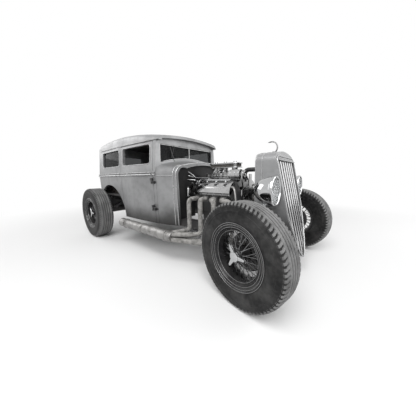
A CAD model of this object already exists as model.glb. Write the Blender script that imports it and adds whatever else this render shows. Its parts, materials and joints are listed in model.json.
import json
import logging
import math
from dataclasses import dataclass
from enum import Enum

import bmesh
import bpy
from mathutils import Matrix, Vector


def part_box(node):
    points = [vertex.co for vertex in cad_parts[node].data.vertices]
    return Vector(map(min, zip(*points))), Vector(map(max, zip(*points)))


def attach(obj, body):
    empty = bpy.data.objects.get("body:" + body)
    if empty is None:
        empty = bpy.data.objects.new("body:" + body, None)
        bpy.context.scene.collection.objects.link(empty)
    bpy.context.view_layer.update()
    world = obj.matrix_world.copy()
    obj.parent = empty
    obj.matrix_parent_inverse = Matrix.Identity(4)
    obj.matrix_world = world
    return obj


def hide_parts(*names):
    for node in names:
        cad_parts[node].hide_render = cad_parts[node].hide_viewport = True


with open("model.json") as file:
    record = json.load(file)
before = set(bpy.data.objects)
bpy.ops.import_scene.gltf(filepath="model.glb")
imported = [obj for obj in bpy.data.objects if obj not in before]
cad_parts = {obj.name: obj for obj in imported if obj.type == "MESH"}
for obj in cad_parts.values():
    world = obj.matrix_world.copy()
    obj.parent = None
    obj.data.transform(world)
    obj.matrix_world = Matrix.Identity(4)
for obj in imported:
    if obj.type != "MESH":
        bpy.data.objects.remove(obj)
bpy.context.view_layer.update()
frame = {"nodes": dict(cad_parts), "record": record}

log = logging.getLogger("saloon")
Colour = tuple[float, float, float]
Point = tuple[float, float, float]
Flat = tuple[float, float]
Profile = tuple[Flat, ...] | list[Flat]
Mesh = bpy.types.Mesh
Tree = bpy.types.NodeTree
Node = bpy.types.Node
Socket = bpy.types.NodeSocket
Feed = Socket | float | tuple
Part = Mesh | tuple[Mesh, Matrix]

CHASSIS = "chassis"
SIDES = (-1, 1)
NAMED_SIDES = (("right", -1), ("left", 1))
FRONT_AXLE_X = 1.3072413
WHEELBASE = 2.620
FRONT_TRACK, REAR_TRACK = 1.412, 1.440
FRONT_R, FRONT_W = 0.375, 0.180
REAR_R, REAR_W = 0.380, 0.206
KINGPIN_Y = 0.570
STEER_DEG = 12.0
COWL_BACK = 0.930
SCREEN_BACK = 1.205
DOOR_FRONT_BACK, DOOR_REAR_BACK = 1.256, 1.962
TAIL_BACK = 2.915


class Effect(Enum):
    """Fine relief that a finish carries."""

    PLAIN = "plain"
    BRUSHED = "brushed"
    CAST = "cast"
    WOVEN = "woven"
    LEATHER = "leather"
    FINNED = "finned"


@dataclass(frozen=True)
class Finish:
    """One surface: its colour, its worn tone, its gloss and its relief."""

    name: str
    colour: Colour
    worn: Colour
    rough: tuple[float, float] = (0.4, 0.6)
    metallic: float = 0.0
    effect: Effect = Effect.PLAIN
    grain: float = 60.0
    blotch: float = 3.0
    wear: float = 0.5
    streak: float = 0.0
    dust: float = 0.3
    bump: float = 0.15
    clear: float = 0.0
    shine: float = 0.5
    grime: float = 0.0
    ior: float = 1.5


BARE_STEEL = Finish("bare_steel", (0.27, 0.272, 0.275), (0.10, 0.10, 0.102), rough=(0.36, 0.60),
                    metallic=0.4, effect=Effect.BRUSHED, grain=38.0, blotch=2.2, wear=0.55, streak=0.6,
                    dust=0.10, bump=0.05, grime=0.85)
BEAD_STEEL = Finish("bead_steel", (0.40, 0.402, 0.405), (0.20, 0.20, 0.202), rough=(0.24, 0.45),
                    metallic=0.6, effect=Effect.BRUSHED, blotch=6.0, wear=0.45, streak=0.2, dust=0.05,
                    bump=0.04)
FRAME_PAINT = Finish("frame_paint", (0.030, 0.030, 0.032), (0.07, 0.065, 0.06), rough=(0.35, 0.6),
                     effect=Effect.CAST, grain=90.0, blotch=5.0, wear=0.4, dust=0.25)
HINGE_BLACK = Finish("hinge_black", (0.022, 0.022, 0.023), (0.09, 0.09, 0.09), rough=(0.3, 0.5),
                     metallic=0.2, effect=Effect.CAST, grain=160.0, blotch=12.0, wear=0.4, dust=0.1)
ENGINE_PAINT = Finish("engine_paint", (0.075, 0.075, 0.078), (0.03, 0.028, 0.026), rough=(0.35, 0.6),
                      metallic=0.1, effect=Effect.CAST, grain=110.0, blotch=7.0, streak=0.2, dust=0.2,
                      bump=0.3)
CAST_IRON = Finish("cast_iron", (0.13, 0.13, 0.13), (0.06, 0.055, 0.05), rough=(0.5, 0.75), metallic=0.4,
                   effect=Effect.CAST, grain=140.0, blotch=8.0, dust=0.2, bump=0.4)
POLISHED_ALLOY = Finish("polished_alloy", (0.47, 0.47, 0.47), (0.22, 0.22, 0.22), rough=(0.12, 0.26),
                        metallic=1.0, effect=Effect.BRUSHED, grain=90.0, blotch=9.0, wear=0.45, dust=0.05,
                        bump=0.03)
CAST_ALLOY = Finish("cast_alloy", (0.28, 0.28, 0.28), (0.11, 0.11, 0.11), rough=(0.35, 0.6), metallic=0.85,
                    effect=Effect.CAST, grain=170.0, blotch=9.0, dust=0.1, bump=0.25)
CARB_ALLOY = Finish("carb_alloy", (0.42, 0.42, 0.415), (0.13, 0.13, 0.128), rough=(0.25, 0.5),
                    metallic=0.85, effect=Effect.CAST, grain=170.0, blotch=14.0, wear=0.6, dust=0.05,
                    bump=0.25)
CHROME = Finish("chrome", (0.50, 0.505, 0.51), (0.28, 0.28, 0.285), rough=(0.05, 0.16), metallic=1.0,
                blotch=11.0, wear=0.35, dust=0.04)
PIPE_WRAP = Finish("pipe_wrap", (0.36, 0.352, 0.338), (0.045, 0.043, 0.04), rough=(0.8, 0.95),
                   effect=Effect.WOVEN, grain=420.0, blotch=26.0, wear=0.8, dust=0.15, bump=0.5)
PIPE_STEEL = Finish("pipe_steel", (0.31, 0.305, 0.298), (0.05, 0.047, 0.044), rough=(0.32, 0.6),
                    metallic=0.6, effect=Effect.BRUSHED, grain=70.0, blotch=9.0, wear=0.85, dust=0.15)
CORE = Finish("radiator_core", (0.028, 0.028, 0.03), (0.05, 0.048, 0.045), rough=(0.5, 0.7), metallic=0.4,
              effect=Effect.FINNED, grain=500.0, blotch=5.0, wear=0.4, dust=0.2, bump=0.8)
SPRING_STEEL = Finish("spring_steel", (0.10, 0.10, 0.105), (0.055, 0.05, 0.047), rough=(0.4, 0.65),
                      metallic=0.5, effect=Effect.CAST, grain=120.0, blotch=9.0, dust=0.25)
SEAT_LEATHER = Finish("seat_leather", (0.045, 0.037, 0.033), (0.09, 0.075, 0.065), rough=(0.42, 0.62),
                      effect=Effect.LEATHER, grain=260.0, blotch=8.0, wear=0.45, dust=0.1, bump=0.35)
DASH_PAINT = Finish("dash_paint", (0.22, 0.22, 0.22), (0.12, 0.12, 0.12), rough=(0.35, 0.5), metallic=0.2,
                    effect=Effect.CAST, grain=100.0, blotch=6.0, wear=0.4)
STEERING_BLACK = Finish("steering_black", (0.022, 0.022, 0.023), (0.06, 0.058, 0.055), rough=(0.22, 0.42),
                        blotch=14.0, wear=0.4, dust=0.1)
TAIL_RED = Finish("tail_red", (0.30, 0.012, 0.012), (0.17, 0.01, 0.01), rough=(0.12, 0.24), blotch=14.0,
                  wear=0.3, dust=0.1)
TYRE = Finish("tyre", (0.008, 0.008, 0.0083), (0.060, 0.0595, 0.059), rough=(0.45, 0.75),
              effect=Effect.CAST, grain=190.0, blotch=6.0, wear=0.75, dust=0.10, bump=0.2, shine=0.14)
TREAD = Finish("tread", (0.19, 0.19, 0.19), (0.050, 0.050, 0.050), rough=(0.7, 0.9), effect=Effect.CAST,
               grain=190.0, blotch=9.0, wear=0.7, dust=0.15, bump=0.2, shine=0.2)
FIREWALL_PAINT = Finish("firewall_paint", (0.014, 0.014, 0.015), (0.035, 0.033, 0.03), rough=(0.45, 0.7),
                        effect=Effect.CAST, grain=110.0, blotch=6.0, streak=0.2, dust=0.1, bump=0.2,
                        shine=0.2)
WHEEL_BLACK = Finish("wheel_black", (0.014, 0.014, 0.015), (0.045, 0.044, 0.043), rough=(0.25, 0.45),
                     effect=Effect.CAST, grain=120.0, blotch=9.0, wear=0.4, dust=0.10, bump=0.05,
                     shine=0.22)
FLOOR_PAINT = Finish("floor_paint", (0.045, 0.045, 0.046), (0.08, 0.075, 0.07), rough=(0.55, 0.8),
                     effect=Effect.CAST, grain=90.0, blotch=4.0)
GLASS = Finish("glass", (0.085, 0.088, 0.090), (0.085, 0.088, 0.090), rough=(0.03, 0.06), blotch=4.0,
               wear=0.1, dust=0.0, bump=0.0, clear=0.85, shine=0.025, ior=1.10)
SPOKE_STEEL = Finish("spoke_steel", (0.16, 0.16, 0.163), (0.04, 0.04, 0.04), rough=(0.14, 0.30),
                     metallic=1.0, blotch=25.0, wear=0.4, dust=0.1)
DRUM_IRON = Finish("drum_iron", (0.035, 0.035, 0.036), (0.07, 0.066, 0.06), rough=(0.35, 0.6),
                   metallic=0.3, effect=Effect.CAST, grain=160.0, blotch=12.0, dust=0.25, bump=0.2)
GRILLE_BRIGHT = Finish("grille_bright", (0.46, 0.46, 0.465), (0.22, 0.22, 0.22), rough=(0.12, 0.28),
                       metallic=1.0, effect=Effect.BRUSHED, grain=70.0, blotch=7.0, wear=0.45, streak=0.2,
                       dust=0.03, bump=0.03)
MIRROR = Finish("lamp_mirror", (0.58, 0.58, 0.58), (0.44, 0.44, 0.44), rough=(0.04, 0.10), metallic=1.0,
                blotch=9.0, wear=0.2, dust=0.0)
BULB = Finish("bulb", (0.80, 0.79, 0.76), (0.70, 0.69, 0.66), rough=(0.05, 0.12), blotch=30.0, wear=0.2,
              dust=0.0)
PAPER = Finish("pleated_paper", (0.10, 0.095, 0.088), (0.05, 0.047, 0.043), rough=(0.75, 0.9),
               effect=Effect.CAST, grain=260.0, blotch=14.0, dust=0.2, bump=0.2)
GAUGE = Finish("gauge_face", (0.035, 0.035, 0.037), (0.06, 0.06, 0.06), rough=(0.25, 0.4),
               effect=Effect.CAST, grain=300.0, blotch=16.0, wear=0.3, dust=0.05, bump=0.05)
HOSE_RUBBER = Finish("hose_rubber", (0.020, 0.020, 0.021), (0.055, 0.052, 0.048), rough=(0.5, 0.75),
                     effect=Effect.CAST, grain=220.0, blotch=12.0, dust=0.2)
LENS = Finish("lens", (0.75, 0.77, 0.78), (0.75, 0.77, 0.78), rough=(0.04, 0.08), effect=Effect.FINNED,
              grain=260.0, blotch=4.0, wear=0.1, dust=0.0, bump=0.35, clear=0.75)

NODE_FINISHES: dict[str, Finish] = {
    finish.name: finish
    for finish in (
        BARE_STEEL, FRAME_PAINT, GLASS, ENGINE_PAINT, CAST_IRON, POLISHED_ALLOY, CAST_ALLOY, PIPE_WRAP, CORE, CHROME,
        LENS, SPRING_STEEL, SEAT_LEATHER, DASH_PAINT, STEERING_BLACK, TAIL_RED, TYRE, WHEEL_BLACK, FLOOR_PAINT,
        HOSE_RUBBER,
    )
}
OWN_FINISHES: dict[str, Finish] = {
    "firewall": FIREWALL_PAINT,
    "mascot": CAST_ALLOY,
    "carburettors": CARB_ALLOY,
    "tail_lamps": HINGE_BLACK,
}


def shift(x: float, y: float, z: float) -> Matrix:
    """A move to a place."""
    return Matrix.Translation((x, y, z))


def turned(degrees: float, axis: str) -> Matrix:
    """A turn about an axis."""
    return Matrix.Rotation(math.radians(degrees), 4, axis)


def facing(x: float, y: float, z: float, degrees: float = 90.0) -> Matrix:
    """The place of a lathe form that looks forward, or back with -90 degrees."""
    return shift(x, y, z) @ turned(degrees, "Y")


def offset(profile: Profile, radius: float, height: float) -> list[Flat]:
    """A profile whose points are counted from a radius and a height."""
    return [(radius + out, height + up) for out, up in profile]


def circle(radius: float, count: int, phase: float = 0.0) -> list[Flat]:
    """Points evenly round a circle, with the first one turned by a share of a step."""
    angles = [math.tau * (k + phase) / count for k in range(count)]
    return [(radius * math.cos(angle), radius * math.sin(angle)) for angle in angles]


def arc(x: float, y: float, radius: float, start: float, end: float, steps: int) -> list[Flat]:
    """Points along an arc about a centre, both ends included."""
    angles = [start + (end - start) * k / steps for k in range(steps + 1)]
    return [(x + radius * math.cos(angle), y + radius * math.sin(angle)) for angle in angles]


def spaced(start: float, end: float, steps: int) -> list[float]:
    """Values evenly from start to end, both included."""
    return [start + (end - start) * k / steps for k in range(steps + 1)]


class TreeMaker:
    """Adds nodes and links to one node tree."""

    def __init__(self, tree: Tree) -> None:
        """Work on a tree.

        Args:
            tree: the tree to work on.
        """
        self.tree = tree
        self.source: Node | None = None
        self.result: Node | None = None

    @classmethod
    def group(cls, name: str, kind: str, inputs: dict[str, str], outputs: dict[str, str]) -> "TreeMaker":
        """Open a node group with named sockets.

        Args:
            name: the group's name.
            kind: the type of its tree.
            inputs: name and type of each input.
            outputs: name and type of each output.

        Returns:
            The maker of the new group.
        """
        made = cls(bpy.data.node_groups.new(name, kind))
        for way, sockets in (("INPUT", inputs), ("OUTPUT", outputs)):
            for label, socket in sockets.items():
                made.tree.interface.new_socket(label, in_out=way, socket_type=f"NodeSocket{socket}")
        made.source = made.add("NodeGroupInput")
        made.result = made.add("NodeGroupOutput")
        return made

    def take(self, label: str) -> Socket:
        """One of the group's inputs."""
        return self.source.outputs[label]

    def give(self, **sockets: Socket) -> Tree:
        """Link the group's outputs and return the finished tree."""
        self.feed(self.result, sockets)
        return self.tree

    def add(self, kind: str, inputs: dict[str | int, Feed] | None = None, **settings: object) -> Node:
        """Add a node.

        Args:
            kind: its type.
            inputs: what goes into its sockets, by name or number.
            settings: its properties.

        Returns:
            The new node.
        """
        node = self.tree.nodes.new(kind)
        for label, value in settings.items():
            setattr(node, label, value)
        self.feed(node, inputs or {})
        return node

    def feed(self, node: Node, inputs: dict[str | int, Feed]) -> None:
        """Link a node's inputs to sockets, and set those given as values.

        Args:
            node: the node to feed.
            inputs: a socket or a value for each input.
        """
        for label, value in inputs.items():
            if isinstance(value, Socket):
                self.tree.links.new(value, node.inputs[label])
            else:
                node.inputs[label].default_value = value

    def math(self, kind: str, first: Feed, second: Feed) -> Socket:
        """Add one sum; each operand is a socket or a number."""
        return self.add("ShaderNodeMath", {0: first, 1: second}, operation=kind).outputs[0]

    def times(self, first: Feed, second: Feed) -> Socket:
        """Multiply two operands."""
        return self.math("MULTIPLY", first, second)

    def ramp(self, value: Socket, low: float, high: float) -> Socket:
        """Stretch a value so that low is 0 and high is 1, held between them."""
        inputs = {"Value": value, "From Min": low, "From Max": high}
        return self.add("ShaderNodeMapRange", inputs, interpolation_type="SMOOTHSTEP").outputs["Result"]

    def noise(self, vector: Socket, scale: Feed, detail: float, stretch: Point = (1.0, 1.0, 1.0)) -> Socket:
        """Add a noise whose pattern is squeezed along an axis by stretch."""
        spot = self.add("ShaderNodeMapping", {"Vector": vector, "Scale": stretch}).outputs[0]
        return self.add("ShaderNodeTexNoise", {"Vector": spot, "Scale": scale, "Detail": detail}).outputs["Fac"]

    def blend(self, mask: Socket, first: Feed, second: Colour) -> Socket:
        """Mix a colour over another by a mask; the first is a socket or a colour."""
        base = (*first, 1.0) if isinstance(first, tuple) else first
        return self.add("ShaderNodeMix", {0: mask, 6: base, 7: (*second, 1.0)}, data_type="RGBA").outputs[2]

    def place(self, group: Tree, **inputs: Feed) -> bpy.types.NodeOutputs:
        """Put a group into the tree and return its outputs."""
        return self.add("ShaderNodeGroup", inputs, node_tree=group).outputs


class ShaderKit:
    """Shared shader groups, and the material of each finish."""

    DUST_TONE = (0.195, 0.188, 0.180)
    GRIME_TONE = (0.022, 0.021, 0.020)
    BUMP_HEIGHT = 0.002
    FINE_SCALE = 7.0
    BROAD_SHARE, FINE_SHARE = 0.65, 0.35
    RUN_STRETCH = (1.0, 1.0, 0.12)
    BRUSH_STRETCH = (1.0, 1.0, 9.0)
    WAVE_SCALE = 0.3
    WEAVE_DISTORTION = 1.2

    def __init__(self) -> None:
        """Build the groups, with no material made yet."""
        self._materials: dict[str, bpy.types.Material] = {}
        self._weather = self._weathering()
        self._dust = self._dusting()
        self._relief = {effect: self._relief_group(effect) for effect in Effect if effect is not Effect.PLAIN}

    def _weathering(self) -> Tree:
        """Blotches in two sizes, and streaks that run down.

        Returns:
            The tree.
        """
        make = TreeMaker.group("weathering", "ShaderNodeTree", {"Vector": "Vector", "Scale": "Float"},
                               {"Blotch": "Float", "Streak": "Float"})
        vector, scale = make.take("Vector"), make.take("Scale")
        broad = make.ramp(make.noise(vector, scale, 6.0), 0.40, 0.68)
        fine = make.ramp(make.noise(vector, make.times(scale, self.FINE_SCALE), 5.0), 0.38, 0.72)
        mixed = make.math("ADD", make.times(broad, self.BROAD_SHARE), make.times(fine, self.FINE_SHARE))
        runs = make.ramp(make.noise(vector, 9.0, 5.0, self.RUN_STRETCH), 0.48, 0.75)
        return make.give(Blotch=mixed, Streak=runs)

    def _dusting(self) -> Tree:
        """Road dust on faces that look up and near the ground, and dark road grime along the sills.

        Returns:
            The tree.
        """
        make = TreeMaker.group("dusting", "ShaderNodeTree", {"Vector": "Vector"}, {"Mask": "Float", "Grime": "Float"})
        vector = make.take("Vector")
        height = make.add("ShaderNodeSeparateXYZ", {0: vector}).outputs["Z"]
        normal = make.add("ShaderNodeNewGeometry").outputs["Normal"]
        slope = make.add("ShaderNodeSeparateXYZ", {0: normal}).outputs["Z"]
        upward = make.times(make.ramp(slope, 0.5, 1.0), 0.5)
        cover = make.math("MAXIMUM", make.ramp(height, 0.85, 0.0), upward)
        cloud = make.ramp(make.noise(vector, 11.0, 7.0), 0.35, 0.7)
        wave = make.times(make.noise(vector, 3.0, 3.0), 0.22)
        splash = make.ramp(make.math("ADD", height, wave), 0.74, 0.52)
        return make.give(Mask=make.times(cover, cloud), Grime=splash)

    def _relief_group(self, effect: Effect) -> Tree:
        """Height of one kind of fine relief.

        Args:
            effect: the kind of relief.

        Returns:
            A group with Vector and Scale in, and Height out.
        """
        make = TreeMaker.group(f"relief_{effect.value}", "ShaderNodeTree", {"Vector": "Vector", "Scale": "Float"},
                               {"Height": "Float"})
        vector, scale = make.take("Vector"), make.take("Scale")
        if effect is Effect.BRUSHED:
            along = make.noise(vector, scale, 3.0, self.BRUSH_STRETCH)
            height = make.math("ADD", along, make.noise(vector, make.times(scale, self.WAVE_SCALE), 2.0))
        elif effect is Effect.CAST:
            height = make.noise(vector, scale, 6.0)
        elif effect is Effect.LEATHER:
            cells = make.add("ShaderNodeTexVoronoi", {"Vector": vector, "Scale": scale}, feature="DISTANCE_TO_EDGE")
            height = make.ramp(cells.outputs["Distance"], 0.0, 0.25)
        else:
            woven = effect is Effect.WOVEN
            inputs = {"Vector": vector, "Scale": make.times(scale, self.WAVE_SCALE),
                      "Distortion": self.WEAVE_DISTORTION if woven else 0.0}
            waves = [make.add("ShaderNodeTexWave", inputs, bands_direction=way).outputs["Fac"]
                     for way in (("X", "Z") if woven else ("Z",))]
            height = make.math("ADD", waves[0], waves[-1])
        return make.give(Height=height)

    def material(self, finish: Finish) -> bpy.types.Material:
        """The material of a finish, made once.

        Args:
            finish: the finish to make.

        Returns:
            The finished material.
        """
        if finish.name in self._materials:
            return self._materials[finish.name]
        material = bpy.data.materials.new(finish.name)
        material.use_nodes = True
        make = TreeMaker(material.node_tree)
        shader = make.tree.nodes["Principled BSDF"]
        vector = make.add("ShaderNodeTexCoord").outputs["Object"]
        weather = make.place(self._weather, Vector=vector, Scale=finish.blotch)
        worn = make.times(weather["Blotch"], finish.wear)
        if finish.streak:
            worn = make.math("MAXIMUM", worn, make.times(weather["Streak"], finish.streak * finish.wear))
        colour = make.blend(worn, finish.colour, finish.worn)
        rough = worn
        if finish.dust:
            dust = make.place(self._dust, Vector=vector)
            mask = make.times(dust["Mask"], finish.dust)
            colour = make.blend(mask, colour, self.DUST_TONE)
            rough = make.math("MAXIMUM", worn, mask)
            if finish.grime:
                colour = make.blend(make.times(dust["Grime"], finish.grime), colour, self.GRIME_TONE)
        low, high = finish.rough
        spread = make.add("ShaderNodeMapRange", {"Value": rough, "To Min": low, "To Max": high}).outputs["Result"]
        make.feed(shader, {
            "Base Color": colour, "Roughness": spread, "Metallic": finish.metallic, "IOR": finish.ior,
            "Specular IOR Level": finish.shine, "Transmission Weight": finish.clear,
        })
        if finish.effect is not Effect.PLAIN and finish.bump:
            relief = make.place(self._relief[finish.effect], Vector=vector, Scale=finish.grain)
            bump = make.add("ShaderNodeBump", {"Strength": finish.bump, "Distance": self.BUMP_HEIGHT,
                                               "Height": relief["Height"]})
            make.feed(shader, {"Normal": bump.outputs["Normal"]})
        self._materials[finish.name] = material
        return material

    def paint_nodes(self) -> None:
        """Give each node of the frame the finish of its material slot."""
        slots = {part["node"]: part["material_slot"] for part in frame["record"]["subparts"]}
        for name, node in frame["nodes"].items():
            node.data.materials.clear()
            node.data.materials.append(self.material(OWN_FINISHES.get(name, NODE_FINISHES[slots[name]])))


class MeshShop:
    """Mesh forms that the pieces are built from, all in metres."""

    @staticmethod
    def lathe(profile: Profile, steps: int, closed: bool = True) -> Mesh:
        """Turn a profile about Z.

        Args:
            profile: radius and height of each point, in order round the section.
            steps: faces round the axis.
            closed: whether the last point joins the first.

        Returns:
            The turned mesh, with its faces outwards.
        """
        shape = bmesh.new()
        rings = [[shape.verts.new((x, y, height)) for x, y in circle(radius, steps)] for radius, height in profile]
        MeshShop.bridge(shape, [*rings, rings[0]] if closed else rings)
        bmesh.ops.remove_doubles(shape, verts=shape.verts, dist=1e-6)
        return MeshShop.close(shape, "turned")

    @staticmethod
    def bridge(shape: bmesh.types.BMesh, rings: list[list[bmesh.types.BMVert]]) -> None:
        """Lay faces from each ring of points to the next.

        Args:
            shape: the working copy.
            rings: rings of points, in order.
        """
        for low, high in zip(rings, rings[1:]):
            for k in range(len(low)):
                after = (k + 1) % len(low)
                shape.faces.new((low[k], low[after], high[after], high[k]))

    @staticmethod
    def close(shape: bmesh.types.BMesh, name: str, smooth_deg: float = 32.0) -> Mesh:
        """Settle the normals, smooth all but the sharp edges, and free the working copy.

        Args:
            shape: the working copy.
            name: the mesh's name.
            smooth_deg: an edge that turns further than this stays sharp.

        Returns:
            The mesh.
        """
        bmesh.ops.recalc_face_normals(shape, faces=shape.faces)
        limit = math.radians(smooth_deg)
        for face in shape.faces:
            face.smooth = True
        for edge in shape.edges:
            edge.smooth = len(edge.link_faces) == 2 and edge.calc_face_angle(math.pi) < limit
        mesh = bpy.data.meshes.new(name)
        shape.to_mesh(mesh)
        shape.free()
        return mesh

    @staticmethod
    def bar(outline: Profile, low: float, high: float, bevel: float) -> Mesh:
        """Prism of an outline in XY between two heights, with its edges eased.

        Args:
            outline: corner points, anticlockwise.
            low: height of the lower face.
            high: height of the upper face.
            bevel: width of the eased edges.

        Returns:
            The closed mesh.
        """
        shape = bmesh.new()
        base, top = ([shape.verts.new((x, y, z)) for x, y in outline] for z in (low, high))
        shape.faces.new(base[::-1])
        shape.faces.new(top)
        MeshShop.bridge(shape, [base, top])
        bmesh.ops.bevel(shape, geom=list(shape.edges), offset=bevel, segments=2, affect="EDGES", profile=0.5)
        return MeshShop.close(shape, "bar")

    @staticmethod
    def plate(length: float, width: float, height: float, bevel: float) -> Mesh:
        """Block with eased edges, centred on the origin.

        Args:
            length: size along X.
            width: size along Y.
            height: size along Z.
            bevel: width of the eased edges.

        Returns:
            The mesh.
        """
        half, side = length / 2, width / 2
        outline = [(-half, -side), (half, -side), (half, side), (-half, side)]
        return MeshShop.bar(outline, -height / 2, height / 2, bevel)

    @staticmethod
    def tube(path: list[Point], radius: float, sides: int = 10) -> Mesh:
        """Closed tube along points, with mitred corners.

        Args:
            path: points along the middle of the tube.
            radius: its radius.
            sides: faces round it.

        Returns:
            The closed mesh.
        """
        shape = bmesh.new()
        points = [Vector(p) for p in path]
        rings = []
        normal = None
        for i, point in enumerate(points):
            run = (points[min(i + 1, len(points) - 1)] - points[max(i - 1, 0)]).normalized()
            if normal is None:
                normal = run.orthogonal().normalized()
            normal = (normal - run * normal.dot(run)).normalized()
            across = run.cross(normal)
            rings.append([
                shape.verts.new(point + (normal * math.cos(a) + across * math.sin(a)) * radius)
                for a in (math.tau * k / sides for k in range(sides))
            ])
        MeshShop.bridge(shape, rings)
        shape.faces.new(rings[0][::-1])
        shape.faces.new(rings[-1])
        return MeshShop.close(shape, "tube", 50.0)

    @staticmethod
    def smooth(points: list[Point], steps: int = 6) -> list[Point]:
        """Points along a smooth line that passes through all the given ones.

        Args:
            points: points to pass through.
            steps: steps from each to the next.

        Returns:
            The points of the line.
        """
        knots = [Vector(p) for p in points]
        line: list[Point] = []
        for i in range(len(knots) - 1):
            a, b, c, d = (knots[min(max(k, 0), len(knots) - 1)] for k in (i - 1, i, i + 1, i + 2))
            for k in range(steps):
                t = k / steps
                line.append(tuple(b + (c - a) * (t / 2) + (a - b * 2.5 + c * 2 - d * 0.5) * t**2
                                  + (b * 1.5 - c * 1.5 + (d - a) * 0.5) * t**3))
        return [*line, tuple(knots[-1])]

    @staticmethod
    def round_box(low: Flat, high: Flat, corner: float, steps: int = 6) -> list[Flat]:
        """Outline of a box with rounded corners, ending where it starts.

        Args:
            low: lowest values.
            high: highest values.
            corner: radius of the corners.
            steps: steps round each corner.

        Returns:
            The outline.
        """
        left, right = low[0] + corner, high[0] - corner
        base, top = low[1] + corner, high[1] - corner
        line = []
        for quarter, (x, y) in enumerate(((right, top), (left, top), (left, base), (right, base))):
            line += arc(x, y, corner, math.pi / 2 * quarter, math.pi / 2 * (quarter + 1), steps)
        return [*line, line[0]]

    @staticmethod
    def mirrored(half: list[Flat], meets: bool) -> list[Flat]:
        """A half outline and its mirror image; meets says that the last point lies in the middle."""
        return half + [(-y, z) for y, z in reversed(half[:-1] if meets else half)]

    @staticmethod
    def joined(parts: list[Part]) -> Mesh:
        """Put meshes together; one that comes with a matrix is moved by it.

        Args:
            parts: forms, bare or with their places.

        Returns:
            The mesh.
        """
        shape = bmesh.new()
        for part in parts:
            mesh, place = part if isinstance(part, tuple) else (part, None)
            before = set(shape.verts)
            shape.from_mesh(mesh)
            if place is not None:
                bmesh.ops.transform(shape, matrix=place, verts=[v for v in shape.verts if v not in before])
        joint = bpy.data.meshes.new("joined")
        shape.to_mesh(joint)
        shape.free()
        return joint


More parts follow.
